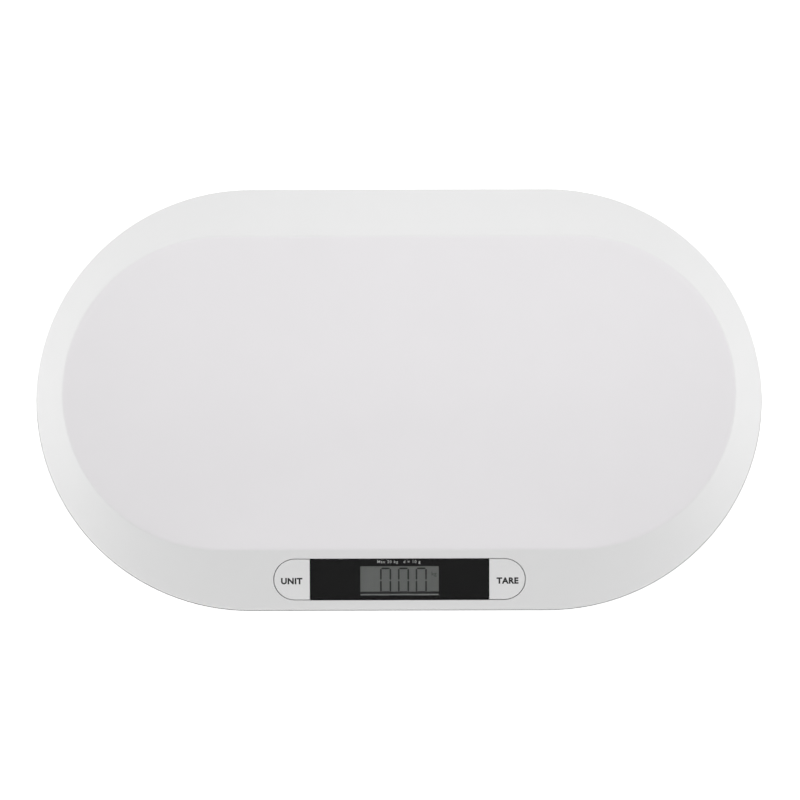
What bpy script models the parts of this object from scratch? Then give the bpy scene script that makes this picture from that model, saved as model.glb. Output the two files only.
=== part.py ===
"""Animal weighing scale: a shallow oblong dish on a closed case that stands on four weighing feet.

Units are metres and +Z is up. The origin is on the table under the middle of the case, and the
display sits in the sloping front rim, towards -Y. Every piece is one named object.
"""

from math import atan2, cos, hypot, pi, radians, sin, sqrt

import bmesh
import bpy
from mathutils import Matrix, Vector

MM = 0.001

# Plan of the case: an oblong with two half-round ends
TRAY_LENGTH = 550 * MM
TRAY_DEPTH = 325 * MM
RIM_SIDE = 41.6 * MM  # rim band before and behind the dish, seen from above
RIM_END = 20.5 * MM  # rim band at the two ends

# Heights of the case
STANDOFF = 7 * MM  # table to the underside of the base
HULL_HEIGHT = 24 * MM  # underside of the base to the seam
LIP_HEIGHT = 5 * MM
RIM_RISE = 22 * MM  # lip to the ridge round the dish
DISH_DEPTH = 16 * MM
DISH_FLAT = 24 * MM  # half width of the flat middle of the dish

# Walls and roundings of the two shells
TRAY_WALL = 3 * MM
LIP_WALL = 2.4 * MM
BASE_WALL = 2.5 * MM
RIDGE_ROUND = 2 * MM
LIP_ROUND = 1.5 * MM
HULL_TUCK = 36 * MM  # how far the flat underside lies inside the lip
SEAM_STEP = 1.5 * MM  # how far the base lies inside the lip at the seam
TONGUE_HEIGHT = 2 * MM  # rib of the base that reaches up inside the lip
TONGUE_WALL = 1.8 * MM
TONGUE_GAP = 0.4 * MM

# Clearances
SEAT_GAP = 0.3 * MM  # between pieces that rest on each other
HOLE_GAP = 0.2 * MM  # round a screw in its hole, on the radius
KEY_GAP = 0.5 * MM  # round a key
KEY_TRAVEL = 0.5 * MM
CELL_TRAVEL = 0.25 * MM  # bend of a load cell at full load
FOOT_PLAY = 0.1 * MM  # left over a foot's stem at full load

# Display panel, in its own frame: X along the rim, Y up the slope, Z out of the rim
PANEL_LENGTH = 190.7 * MM
PANEL_EDGE = 7 * MM  # rim left above and below the panel
LENS_LENGTH = 134.6 * MM
LENS_RECESS = 0.1 * MM  # lens below the rim's face
LENS_GAP = 0.3 * MM
KEY_CHAMFER = 0.4 * MM
KEY_LAP = 1 * MM  # how far the key's flange reaches behind the rim
KEY_FLANGE = 1.1 * MM
KEY_STEM = 0.3 * MM
KEY_STEM_WIDTH = 7 * MM
SWITCH_SIDE = 6.2 * MM
SWITCH_HEIGHT = 2.2 * MM
SWITCH_WELL = 1.7 * MM  # depth of the plunger's hole
PLUNGER_RADIUS = 1.7 * MM
PLUNGER_GAP = 0.15 * MM
PLUNGER_SPARE = 0.4 * MM  # under the plunger when its key is pressed
CARRIER_OVERHANG = 16.6 * MM  # past each end of the panel
CARRIER_EDGE = 3.3 * MM  # rim left above and below the carrier
CARRIER_WALL = 2 * MM
CARRIER_CORNER = 3 * MM
CARRIER_POST_RADIUS = 2.2 * MM
CARRIER_POST_OUT = 14 * MM  # posts outside the ends of the LCD
CARRIER_POST_INSET = 3.5 * MM  # posts inside the edges of the board
LCD_LENGTH = 64 * MM
LCD_HEIGHT = 28 * MM
LCD_WALL = 2.8 * MM
LCD_DROP = 1.2 * MM  # LCD centre below the panel's centre
LCD_GAP = 0.4 * MM
CONNECTOR_LENGTH = 58 * MM
CONNECTOR_WIDTH = 2.2 * MM
CONNECTOR_HEIGHT = 1.7 * MM
CONNECTOR_INSET = 2 * MM  # strip centre inside the lower edge of the LCD
BOARD_OVERHANG = 13.6 * MM  # past each end of the panel
BOARD_HEIGHT = 32 * MM
BOARD_WALL = 1.6 * MM
BOARD_CORNER = 1.5 * MM
BOARD_SCREW_INSET = 5 * MM  # inside the edges of the board
BOARD_BOSS_RADIUS = 3 * MM
BOARD_SCREW_RADIUS = 1.1 * MM
BOARD_SCREW_LENGTH = 5 * MM
BOARD_HEAD_RADIUS = 2.2 * MM
BOARD_HEAD_HEIGHT = 1.5 * MM
CHIP_OFFSET = 62 * MM
CHIP_RADIUS = 7 * MM
CHIP_ROUND = 1.4 * MM
CHIP_HEIGHT = 2.2 * MM

# Feet and load cells
FOOT_RIM = 2.7 * MM  # round the pad
FOOT_CHAMFER = 0.8 * MM
FOOT_ANGLE = radians(53)  # place of a foot on the half-round end, from the X axis
FOOT_HEADROOM = 0.8 * MM  # foot to the underside of the base
PAD_RADIUS = 17 * MM
PAD_HEIGHT = 2 * MM
PAD_PROUD = 0.9 * MM  # part of the pad below the foot
STEM_RADIUS = 7 * MM
STEM_GAP = 0.6 * MM
SNAP_LIP = 1 * MM
SNAP_HEIGHT = 1.4 * MM
SNAP_PLAY = 0.5 * MM
CELL_SIDE = 34 * MM
CELL_WALL = 2.5 * MM
CELL_FRAME = 5 * MM  # width of the cell's outer frame
CELL_TONGUE = 16 * MM
SEAT_INSET = 0.3 * MM  # seat inside the edge of the cell
SEAT_WIDTH = 3.2 * MM
SEAT_HEIGHT = 4.2 * MM
RETAINER_WALL = 3 * MM
RETAINER_GAP = 0.5 * MM  # round the cell
RETAINER_ROOF = 2.5 * MM

# Case screws, driven up through the base into the tray's bosses
SCREW_INSET = 24 * MM  # screw centres inside the edge of the flat underside
SCREW_SPREAD = 190 * MM  # between the two screws on a long side
SCREW_RADIUS = 1.5 * MM
SCREW_LENGTH = 12 * MM
HEAD_RADIUS = 3 * MM
HEAD_HEIGHT = 2 * MM
HEAD_ROUND = 0.6 * MM
HEAD_WELL = 5 * MM  # depth of the hole that hides the head
WELL_RADIUS = 3.6 * MM
POST_RADIUS = 5.6 * MM
POST_WEB = 2 * MM  # under which the head bears
BOSS_RADIUS = 4 * MM
BOSS_BITE = 1.3 * MM  # boss into the underside of the dish
BORE_SPARE = 2 * MM  # pilot hole past the screw's tip

# Battery box: three cells side by side, along X
CELL_COUNT = 3
BATTERY_LENGTH = 44.5 * MM
BATTERY_RADIUS = 5.25 * MM
BATTERY_PITCH = 11.2 * MM
NUB_RADIUS = 1.9 * MM
NUB_LENGTH = 0.9 * MM
BATTERY_BACK = 30 * MM  # box centre behind the middle of the case
BOX_ROOM = 0.4 * MM  # round the cells
BOX_WALL = 2 * MM
CONTACT_WALL = 0.5 * MM
CONTACT_WIDTH = 8 * MM
CONTACT_HEIGHT = 8 * MM
SPRING_LENGTH = 6 * MM
SPRING_WIRE = 0.35 * MM  # radius
SPRING_TURNS = 3
SPRING_RADIUS = 2.6 * MM
SPRING_POINTS = 10  # along one turn

# Battery door: turns about the outer edge at its tabs
DOOR_WALL = 2 * MM
DOOR_GAP = 0.4 * MM
DOOR_LEDGE = 4 * MM  # ledge that the door closes against
LEDGE_WALL = 2.2 * MM
TAB_WIDTH = 8 * MM
TAB_SPREAD = 36 * MM
TAB_REACH = 3 * MM  # past the door's edge
TAB_WALL = 1.4 * MM
TAB_ROOT = 1.6 * MM
TAB_SLOT_RISE = 3.4 * MM  # room above the base's floor for the tab to swing
NOTCH_WIDTH = 18 * MM  # fingertip notch opposite the tabs
NOTCH_DEPTH = 4 * MM

# Leads: places along the base's floor as (X outwards, Y, height over the floor)
LEAD_RADIUS = 1.2 * MM
FRONT_LEAD = ((110 * MM, -62 * MM, 0), (72 * MM, -80 * MM, 0), (50 * MM, -98 * MM, 2 * MM))
REAR_LEAD = (
    (112 * MM, 12 * MM, 0),
    (98 * MM, -34 * MM, 0),
    (60 * MM, -66 * MM, 0),
    (32 * MM, -96 * MM, 2 * MM),
)
BATTERY_LEAD = ((-6 * MM, -20 * MM, 0), (0, -60 * MM, 0), (4 * MM, -96 * MM, 2 * MM))
FRONT_LEAD_END = 40 * MM  # on the board, from its middle
REAR_LEAD_END = 24 * MM
BATTERY_LEAD_END = 5 * MM
LEAD_STEP = 6 * MM  # between the points of a lead

# Facets
ARC_SEGMENTS = 24  # of a half-round end of the case
KEY_SEGMENTS = 12
ROUND_SEGMENTS = 14
FOOT_SEGMENTS = 20
DISH_RINGS = 6
UNDER_RINGS = 4
CORNER_STEPS = 3
HULL_STEPS = 5
SHARP_ANGLE = radians(35)
NEAR = 1e-6  # points closer than this are one

# Worked out from the sizes above
OUTER_RADIUS = TRAY_DEPTH / 2
OUTER_STRAIGHT = TRAY_LENGTH / 2 - OUTER_RADIUS
RIDGE_RADIUS = OUTER_RADIUS - RIM_SIDE
RIDGE_STRAIGHT = TRAY_LENGTH / 2 - RIM_END - RIDGE_RADIUS
FLOOR_RADIUS = OUTER_RADIUS - HULL_TUCK
SEAM_Z = STANDOFF + HULL_HEIGHT
LIP_Z = SEAM_Z + LIP_HEIGHT
RIDGE_Z = LIP_Z + RIM_RISE
DISH_Z = RIDGE_Z - DISH_DEPTH
FLOOR_Z = STANDOFF + BASE_WALL
RIM_SLOPE = atan2(RIM_RISE, RIM_SIDE)
RIM_SLANT = hypot(RIM_RISE, RIM_SIDE)
DISH_FLAT_SHARE = DISH_FLAT / RIDGE_RADIUS

CARRIER_TOP = -TRAY_WALL - SEAT_GAP
CARRIER_BOTTOM = CARRIER_TOP - CARRIER_WALL
LCD_TOP = CARRIER_TOP
LCD_BOTTOM = LCD_TOP - LCD_WALL
CONNECTOR_TOP = LCD_BOTTOM - SEAT_GAP
CONNECTOR_BOTTOM = CONNECTOR_TOP - CONNECTOR_HEIGHT
BOARD_TOP = CONNECTOR_BOTTOM - SEAT_GAP
BOARD_BOTTOM = BOARD_TOP - BOARD_WALL
PANEL_HEIGHT = RIM_SLANT - 2 * PANEL_EDGE
PILL_RADIUS = PANEL_HEIGHT / 2
PILL_STRAIGHT = PANEL_LENGTH / 2 - PILL_RADIUS
KEY_INNER = LENS_LENGTH / 2 + KEY_GAP
KEY_MIDDLE = (KEY_INNER + PANEL_LENGTH / 2) / 2
KEY_STEM_SHARE = KEY_STEM_WIDTH / PANEL_HEIGHT
CARRIER_LENGTH = PANEL_LENGTH + 2 * CARRIER_OVERHANG
CARRIER_HEIGHT = RIM_SLANT - 2 * CARRIER_EDGE
CARRIER_POSTS = (LCD_LENGTH / 2 + CARRIER_POST_OUT, BOARD_HEIGHT / 2 - CARRIER_POST_INSET)
BOARD_LENGTH = PANEL_LENGTH + 2 * BOARD_OVERHANG
BOARD_SCREWS = (BOARD_LENGTH / 2 - BOARD_SCREW_INSET, BOARD_HEIGHT / 2 - BOARD_SCREW_INSET)
FLANGE_BOTTOM = CARRIER_TOP - KEY_FLANGE
SWITCH_BOTTOM = BOARD_TOP + SEAT_GAP
SWITCH_TOP = SWITCH_BOTTOM + SWITCH_HEIGHT
PLUNGER_TOP = FLANGE_BOTTOM - KEY_STEM - SEAT_GAP

FOOT_RADIUS = PAD_RADIUS + SEAT_GAP + FOOT_RIM
SEAT_SIDE = CELL_SIDE - 2 * SEAT_INSET
SEAT_OPENING = SEAT_SIDE - 2 * SEAT_WIDTH
RETAINER_SIDE = CELL_SIDE + 2 * (RETAINER_GAP + RETAINER_WALL)
RETAINER_WINDOW = CELL_SIDE - 2 * CELL_FRAME
SEAT_Z = FLOOR_Z + SEAT_HEIGHT
CELL_Z = SEAT_Z + SEAT_GAP
CELL_TOP = CELL_Z + CELL_WALL
RETAINER_Z = CELL_TOP + SEAT_GAP + RETAINER_ROOF
FOOT_RING = FLOOR_RADIUS - BASE_WALL - RETAINER_SIDE / sqrt(2) - RETAINER_GAP
FOOT_X = OUTER_STRAIGHT + FOOT_RING * cos(FOOT_ANGLE)
FOOT_Y = FOOT_RING * sin(FOOT_ANGLE)
CORNERS = {
    "front_left": (-1, -1),
    "front_right": (1, -1),
    "rear_left": (-1, 1),
    "rear_right": (1, 1),
}

POST_TOP = STANDOFF + HEAD_WELL + POST_WEB
BOSS_BOTTOM = POST_TOP + SEAT_GAP
SCREW_PLACES = [
    (-OUTER_STRAIGHT - FLOOR_RADIUS + SCREW_INSET, 0),
    (OUTER_STRAIGHT + FLOOR_RADIUS - SCREW_INSET, 0),
] + [
    (side * SCREW_SPREAD / 2, end * (FLOOR_RADIUS - SCREW_INSET))
    for side in (-1, 1)
    for end in (-1, 1)
]

BOX_LENGTH = BATTERY_LENGTH + SPRING_LENGTH + 2 * CONTACT_WALL + 5 * SEAT_GAP
DOOR_SEAT = STANDOFF + DOOR_WALL + SEAT_GAP
BOX_WIDTH = BATTERY_PITCH * (CELL_COUNT - 1) + 2 * (BATTERY_RADIUS + BOX_ROOM)
BATTERY_Z = DOOR_SEAT + BATTERY_RADIUS + BOX_ROOM
BOX_ROOF = BATTERY_Z + BATTERY_RADIUS + BOX_ROOM
RECESS_LENGTH = BOX_LENGTH + 2 * DOOR_LEDGE
RECESS_WIDTH = BOX_WIDTH + 2 * DOOR_LEDGE
DOOR_HINGE_Y = BATTERY_BACK - RECESS_WIDTH / 2 + DOOR_GAP
PLATE_X = BOX_LENGTH / 2 - SEAT_GAP  # back of a contact plate from the middle of the box
PLATE_FACE = PLATE_X - CONTACT_WALL

FINISHES = {
    "white_abs": ((0.80, 0.80, 0.80), 0.45, 0.0),
    "key_abs": ((0.74, 0.75, 0.76), 0.4, 0.0),
    "base_abs": ((0.76, 0.76, 0.76), 0.5, 0.0),
    "smoked_acrylic": ((0.012, 0.012, 0.013), 0.08, 0.0),
    "lcd": ((0.13, 0.13, 0.125), 0.2, 0.0),
    "black_abs": ((0.03, 0.03, 0.03), 0.5, 0.0),
    "grey_nylon": ((0.35, 0.36, 0.37), 0.5, 0.0),
    "rubber": ((0.22, 0.22, 0.23), 0.8, 0.0),
    "silicone": ((0.55, 0.3, 0.25), 0.6, 0.0),
    "board": ((0.03, 0.16, 0.06), 0.45, 0.0),
    "epoxy": ((0.015, 0.015, 0.015), 0.3, 0.0),
    "steel": ((0.62, 0.62, 0.63), 0.35, 1.0),
    "nickel": ((0.66, 0.64, 0.6), 0.3, 1.0),
    "battery_sleeve": ((0.1, 0.12, 0.15), 0.35, 0.0),
    "pvc": ((0.6, 0.6, 0.6), 0.5, 0.0),
}


def clear_scene():
    for obj in list(bpy.data.objects):
        bpy.data.objects.remove(obj)


def finish_material(finish):
    """The material of a finish, made the first time that it is asked for."""
    found = bpy.data.materials.get(finish)
    if found:
        return found
    colour, roughness, metallic = FINISHES[finish]
    made = bpy.data.materials.new(finish)
    made.use_nodes = True
    shader = made.node_tree.nodes["Principled BSDF"]
    shader.inputs["Base Color"].default_value = (*colour, 1)
    shader.inputs["Roughness"].default_value = roughness
    shader.inputs["Metallic"].default_value = metallic
    return made


def add_object(name, data, finish, place=(0, 0, 0), parent=None):
    """Puts a mesh or curve into the scene as one named piece."""
    obj = bpy.data.objects.new(name, data)
    if not data.materials:
        data.materials.append(finish_material(finish))
    bpy.context.scene.collection.objects.link(obj)
    obj.location = place
    obj.parent = parent
    return obj


def finished_mesh(name, bm):
    """The mesh of a bmesh, facing out and shaded smooth between its sharp edges."""
    bmesh.ops.recalc_face_normals(bm, faces=bm.faces)
    mesh = bpy.data.meshes.new(name)
    bm.to_mesh(mesh)
    bm.free()
    mesh.shade_smooth()
    mesh.set_sharp_from_angle(angle=SHARP_ANGLE)
    return mesh


def add_piece(name, bm, finish, place=(0, 0, 0), parent=None):
    return add_object(name, finished_mesh(name, bm), finish, place, parent)


def add_frame(name, place, tilt=0.0):
    """An empty that carries pieces which share a place and a tilt about X."""
    frame = bpy.data.objects.new(name, None)
    frame.location = place
    frame.rotation_euler = (tilt, 0, 0)
    bpy.context.scene.collection.objects.link(frame)
    return frame


def combine(obj, operation, name, bm, parent=None):
    """Cuts the solids of a bmesh from a piece, or joins them to it, with a hidden helper."""
    helper = add_piece(name, bm, "white_abs", parent=parent)
    helper.hide_render = True
    helper.display_type = "WIRE"
    modifier = obj.modifiers.new(name, "BOOLEAN")
    modifier.operation = operation
    modifier.solver = "EXACT"
    modifier.object = helper


def ring_edges(bm, points):
    verts = [bm.verts.new(point) for point in points]
    return [bm.edges.new((verts[i - 1], verts[i])) for i in range(len(verts))]


def loft(bm, rings, cyclic=False):
    """Skins closed rings of points in order, and caps both ends or joins the last to the first."""
    loops = [[bm.verts.new(point) for point in ring] for ring in rings]
    pairs = list(zip(loops, loops[1:]))
    if cyclic:
        pairs.append((loops[-1], loops[0]))
    for low, high in pairs:
        for i in range(len(low)):
            bm.faces.new((low[i - 1], low[i], high[i], high[i - 1]))
    if not cyclic:
        bm.faces.new(loops[0])
        bm.faces.new(loops[-1])
    return bm


def turn(bm, profile, centre=(0, 0), segments=ROUND_SEGMENTS):
    """Spins a profile of (radius, height) points that starts and ends on the upright axis."""
    middle = Vector((*centre, 0))
    verts = [bm.verts.new(middle + Vector((radius, 0, z))) for radius, z in profile]
    edges = [bm.edges.new(pair) for pair in zip(verts, verts[1:])]
    bmesh.ops.spin(
        bm, geom=verts + edges, cent=middle, axis=(0, 0, 1), angle=2 * pi, steps=segments, use_merge=True
    )
    bmesh.ops.remove_doubles(bm, verts=bm.verts, dist=NEAR)
    return bm


def plate(bm, outline, holes, bottom, top):
    """A flat plate with holes through it. The outline and the holes are lists of (x, y)."""
    edges = []
    for loop in (outline, *holes):
        edges += ring_edges(bm, [(x, y, bottom) for x, y in loop])
    filled = bmesh.ops.triangle_fill(bm, edges=edges, use_beauty=True)
    faces = [item for item in filled["geom"] if isinstance(item, bmesh.types.BMFace)]
    raised = bmesh.ops.extrude_face_region(bm, geom=faces)
    verts = [item for item in raised["geom"] if isinstance(item, bmesh.types.BMVert)]
    bmesh.ops.translate(bm, verts=verts, vec=(0, 0, top - bottom))
    return bm


def block(bm, low, high):
    """An upright box between two corners."""
    size = Vector(high) - Vector(low)
    matrix = Matrix.Translation((Vector(low) + Vector(high)) / 2) @ Matrix.Diagonal((*size, 1))
    bmesh.ops.create_cube(bm, size=1, matrix=matrix)
    return bm


def oblong(straight, radius, z, segments=ARC_SEGMENTS):
    """A ring with two half-round ends, whose centres lie that far either side of the middle."""
    points = []
    for side in (1, -1):
        for i in range(segments + 1):
            angle = pi * (i / segments - 0.5)
            points.append((side * (straight + radius * cos(angle)), side * radius * sin(angle), z))
    return points


def rectangle(length, width, middle=(0, 0)):
    x, y = middle
    return [
        (x + side * length / 2, y + end * width / 2)
        for side, end in ((-1, -1), (1, -1), (1, 1), (-1, 1))
    ]


def rectangle_ring(length, width, z, middle=(0, 0)):
    return [(x, y, z) for x, y in rectangle(length, width, middle)]


def round_rectangle(length, width, radius, steps=CORNER_STEPS):
    points = []
    for quarter, (side, end) in enumerate(((1, 1), (-1, 1), (-1, -1), (1, -1))):
        for i in range(steps + 1):
            angle = pi / 2 * (quarter + i / steps)
            x = side * (length / 2 - radius) + radius * cos(angle)
            y = end * (width / 2 - radius) + radius * sin(angle)
            points.append((x, y))
    return points


def circle(radius, middle=(0, 0), segments=ROUND_SEGMENTS):
    angles = [2 * pi * i / segments for i in range(segments)]
    return [(middle[0] + radius * cos(a), middle[1] + radius * sin(a)) for a in angles]


def four_places(offsets):
    return [(side * offsets[0], end * offsets[1]) for side in (-1, 1) for end in (-1, 1)]


def between(start, end, share):
    return tuple(a + (b - a) * share for a, b in zip(start, end))


def rounded(start, corner, end):
    """Stations of a rounded corner: a curve from start to end that leans into the corner."""
    shares = [i / CORNER_STEPS for i in range(CORNER_STEPS + 1)]
    return [between(between(start, corner, s), between(corner, end, s), s) for s in shares]


# The two shells. A station is (half length of the straights, end radius, height) of one ring.


def dish_station(share, drop=0.0):
    """A ring of the dish, at a share of the way from its middle to the ridge."""
    climb = max(0.0, (share - DISH_FLAT_SHARE) / (1 - DISH_FLAT_SHARE))
    return (RIDGE_STRAIGHT * share, RIDGE_RADIUS * share, DISH_Z + DISH_DEPTH * climb**2 - drop)


def dish_share(x, y):
    """Share of the way from the middle to the ridge of the dish ring that passes over a point."""
    flat = abs(y) / RIDGE_RADIUS
    if abs(x) <= RIDGE_STRAIGHT * flat:
        return flat
    reach = abs(x) * RIDGE_STRAIGHT
    square = x * x + y * y
    return square / (reach + sqrt(reach**2 - (RIDGE_STRAIGHT**2 - RIDGE_RADIUS**2) * square))


def spread(start, end, count):
    return [start + (end - start) * i / (count - 1) for i in range(count)]


def tray_stations():
    ridge = (RIDGE_STRAIGHT, RIDGE_RADIUS, RIDGE_Z)
    lip = (OUTER_STRAIGHT, OUTER_RADIUS, LIP_Z)
    round_share = 1 - RIDGE_ROUND / RIDGE_RADIUS
    dish = [dish_station(share) for share in spread(DISH_FLAT_SHARE, round_share, DISH_RINGS)]
    ridge_round = rounded(dish[-1], ridge, between(ridge, lip, RIDGE_ROUND / RIM_SLANT))
    lip_end = (OUTER_STRAIGHT, OUTER_RADIUS, LIP_Z - LIP_ROUND)
    lip_round = rounded(between(lip, ridge, LIP_ROUND / RIM_SLANT), lip, lip_end)
    rim_drop = TRAY_WALL / cos(RIM_SLOPE)
    lip_inner = OUTER_RADIUS - LIP_WALL
    shoulder = LIP_Z + LIP_WALL * RIM_RISE / RIM_SIDE - rim_drop
    under = [
        (OUTER_STRAIGHT, OUTER_RADIUS, SEAM_Z),
        (OUTER_STRAIGHT, lip_inner, SEAM_Z),
        (OUTER_STRAIGHT, lip_inner, shoulder),
        (RIDGE_STRAIGHT, RIDGE_RADIUS, RIDGE_Z - rim_drop),
    ]
    under += [
        dish_station(share, TRAY_WALL) for share in spread(round_share, DISH_FLAT_SHARE, UNDER_RINGS)
    ]
    return dish[:-1] + ridge_round + lip_round + under


def boss(bm, place, radius, bottom, top, bore, bore_top):
    """A round boss with a blind hole up its middle."""
    profile = [(0, bore_top), (bore, bore_top), (bore, bottom), (radius, bottom), (radius, top), (0, top)]
    turn(bm, profile, place)


def tray_shell(panel):
    tray = add_piece("tray_shell", loft(bmesh.new(), [oblong(*s) for s in tray_stations()]), "white_abs")
    bosses = bmesh.new()
    bore_top = POST_TOP - POST_WEB + SCREW_LENGTH + BORE_SPARE
    for x, y in SCREW_PLACES:
        top = dish_station(dish_share(x, y), TRAY_WALL - BOSS_BITE)[2]
        boss(bosses, (x, y), BOSS_RADIUS, BOSS_BOTTOM, top, SCREW_RADIUS + HOLE_GAP, bore_top)
    combine(tray, "UNION", "tray_bosses", bosses)
    bosses = bmesh.new()
    bottom = BOARD_TOP + SEAT_GAP
    bore_top = BOARD_BOTTOM + BOARD_SCREW_LENGTH
    for place in four_places(BOARD_SCREWS):
        bore = BOARD_SCREW_RADIUS + HOLE_GAP
        boss(bosses, place, BOARD_BOSS_RADIUS, bottom, -TRAY_WALL / 2, bore, bore_top)
    combine(tray, "UNION", "board_bosses", bosses, panel)
    heights = (-2 * TRAY_WALL, TRAY_WALL)
    cut = loft(bmesh.new(), [oblong(PILL_STRAIGHT, PILL_RADIUS, z, KEY_SEGMENTS) for z in heights])
    combine(tray, "DIFFERENCE", "panel_cut", cut, panel)


def hull_stations(wall):
    """The base's side from its flat underside up to the seam, or that wall further in."""
    stations = []
    for i in range(HULL_STEPS + 1):
        angle = pi / 2 * i / HULL_STEPS
        radius = FLOOR_RADIUS + (HULL_TUCK - SEAM_STEP) * sin(angle) - wall * sin(angle)
        z = SEAM_Z - SEAT_GAP - (HULL_HEIGHT - SEAT_GAP) * cos(angle) + wall * cos(angle)
        stations.append((OUTER_STRAIGHT, radius, z))
    return stations


def base_stations():
    tongue = OUTER_RADIUS - LIP_WALL - TONGUE_GAP
    seam = SEAM_Z - SEAT_GAP
    top = seam + TONGUE_HEIGHT
    rim = [
        (OUTER_STRAIGHT, tongue, seam),
        (OUTER_STRAIGHT, tongue, top),
        (OUTER_STRAIGHT, tongue - TONGUE_WALL, top),
    ]
    inside = hull_stations(BASE_WALL)[:-1]
    return hull_stations(0) + rim + inside[::-1]


def base_additions():
    """Seats of the load cells, posts of the case screws and the battery box."""
    bm = bmesh.new()
    root = STANDOFF + BASE_WALL / 2
    for side, end in CORNERS.values():
        middle = (side * FOOT_X, end * FOOT_Y)
        sizes = ((SEAT_OPENING, root), (SEAT_SIDE, root), (SEAT_SIDE, SEAT_Z), (SEAT_OPENING, SEAT_Z))
        loft(bm, [rectangle_ring(width, width, z, middle) for width, z in sizes], cyclic=True)
    for place in SCREW_PLACES:
        turn(bm, [(0, root), (POST_RADIUS, root), (POST_RADIUS, POST_TOP), (0, POST_TOP)], place)
    rim = 2 * (DOOR_GAP + LEDGE_WALL)
    walls = 2 * BOX_WALL
    steps = (
        (RECESS_LENGTH + rim, RECESS_WIDTH + rim, root),
        (RECESS_LENGTH + rim, RECESS_WIDTH + rim, DOOR_SEAT + LEDGE_WALL),
        (BOX_LENGTH + walls, BOX_WIDTH + walls, DOOR_SEAT + LEDGE_WALL),
        (BOX_LENGTH + walls, BOX_WIDTH + walls, BOX_ROOF + BOX_WALL),
    )
    loft(bm, [rectangle_ring(length, width, z, (0, BATTERY_BACK)) for length, width, z in steps])
    return bm


def base_cuts():
    """Holes of the feet and screws, and the battery box with the recess of its door."""
    bm = bmesh.new()
    below = STANDOFF - BASE_WALL
    for side, end in CORNERS.values():
        hole = STEM_RADIUS + STEM_GAP
        top = FLOOR_Z + BASE_WALL / 2
        turn(bm, [(0, below), (hole, below), (hole, top), (0, top)], (side * FOOT_X, end * FOOT_Y))
    for place in SCREW_PLACES:
        ledge = STANDOFF + HEAD_WELL
        hole = SCREW_RADIUS + HOLE_GAP
        top = POST_TOP + BASE_WALL
        well = [(0, below), (WELL_RADIUS, below), (WELL_RADIUS, ledge)]
        turn(bm, [*well, (hole, ledge), (hole, top), (0, top)], place)
    steps = (
        (RECESS_LENGTH, RECESS_WIDTH, below),
        (RECESS_LENGTH, RECESS_WIDTH, DOOR_SEAT),
        (BOX_LENGTH, BOX_WIDTH, DOOR_SEAT),
        (BOX_LENGTH, BOX_WIDTH, BOX_ROOF),
    )
    loft(bm, [rectangle_ring(length, width, z, (0, BATTERY_BACK)) for length, width, z in steps])
    return bm


def tab_places():
    return [side * TAB_SPREAD / 2 for side in (-1, 1)]


def door_slots():
    """Slots over the base's floor for the door's tabs, and the fingertip notch at the far edge."""
    bm = bmesh.new()
    front = BATTERY_BACK - RECESS_WIDTH / 2
    half = TAB_WIDTH / 2 + DOOR_GAP
    outline = [
        (front - TAB_REACH - DOOR_GAP, FLOOR_Z),
        (front, FLOOR_Z),
        (front, STANDOFF + DOOR_WALL / 2),
        (front + DOOR_LEDGE + DOOR_GAP, STANDOFF + DOOR_WALL / 2),
        (front + DOOR_LEDGE + DOOR_GAP, FLOOR_Z + TAB_SLOT_RISE),
        (front - TAB_REACH - DOOR_GAP, FLOOR_Z + TAB_SLOT_RISE),
    ]
    for x in tab_places():
        loft(bm, [[(x + half * end, y, z) for y, z in outline] for end in (-1, 1)])
    back = BATTERY_BACK + RECESS_WIDTH / 2
    notch = NOTCH_WIDTH / 2
    top = STANDOFF + BASE_WALL / 2
    block(bm, (-notch, back - DOOR_GAP, STANDOFF - BASE_WALL), (notch, back + NOTCH_DEPTH, top))
    return bm


def base_shell():
    base = add_piece("base_shell", loft(bmesh.new(), [oblong(*s) for s in base_stations()]), "base_abs")
    combine(base, "UNION", "base_additions", base_additions())
    combine(base, "DIFFERENCE", "base_cuts", base_cuts())
    combine(base, "DIFFERENCE", "door_slots", door_slots())


# Display panel


def key_ring(radius, inner, z, side, share=1.0):
    """Outline of a key about its middle: half round at the panel's end, straight beside the lens."""
    arc = [pi * (i / KEY_SEGMENTS - 0.5) for i in range(KEY_SEGMENTS + 1)]
    points = [(inner, -radius)]
    points += [(PILL_STRAIGHT + radius * cos(a), radius * sin(a)) for a in arc]
    points.append((inner, radius))
    return [(side * (x - KEY_MIDDLE) * share, y * share, z) for x, y in points]


def key(name, side, panel):
    face = PILL_RADIUS - KEY_GAP
    lap = PILL_RADIUS + KEY_LAP
    rings = [
        key_ring(face - KEY_CHAMFER, KEY_INNER + KEY_CHAMFER, 0, side),
        key_ring(face, KEY_INNER, -KEY_CHAMFER, side),
        key_ring(face, KEY_INNER, CARRIER_TOP, side),
        key_ring(lap, KEY_INNER, CARRIER_TOP, side),
        key_ring(lap, KEY_INNER, FLANGE_BOTTOM, side),
        key_ring(lap, KEY_INNER, FLANGE_BOTTOM, side, KEY_STEM_SHARE),
        key_ring(lap, KEY_INNER, FLANGE_BOTTOM - KEY_STEM, side, KEY_STEM_SHARE),
    ]
    add_piece(name, loft(bmesh.new(), rings), "key_abs", (side * KEY_MIDDLE, 0, 0), panel)


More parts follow.
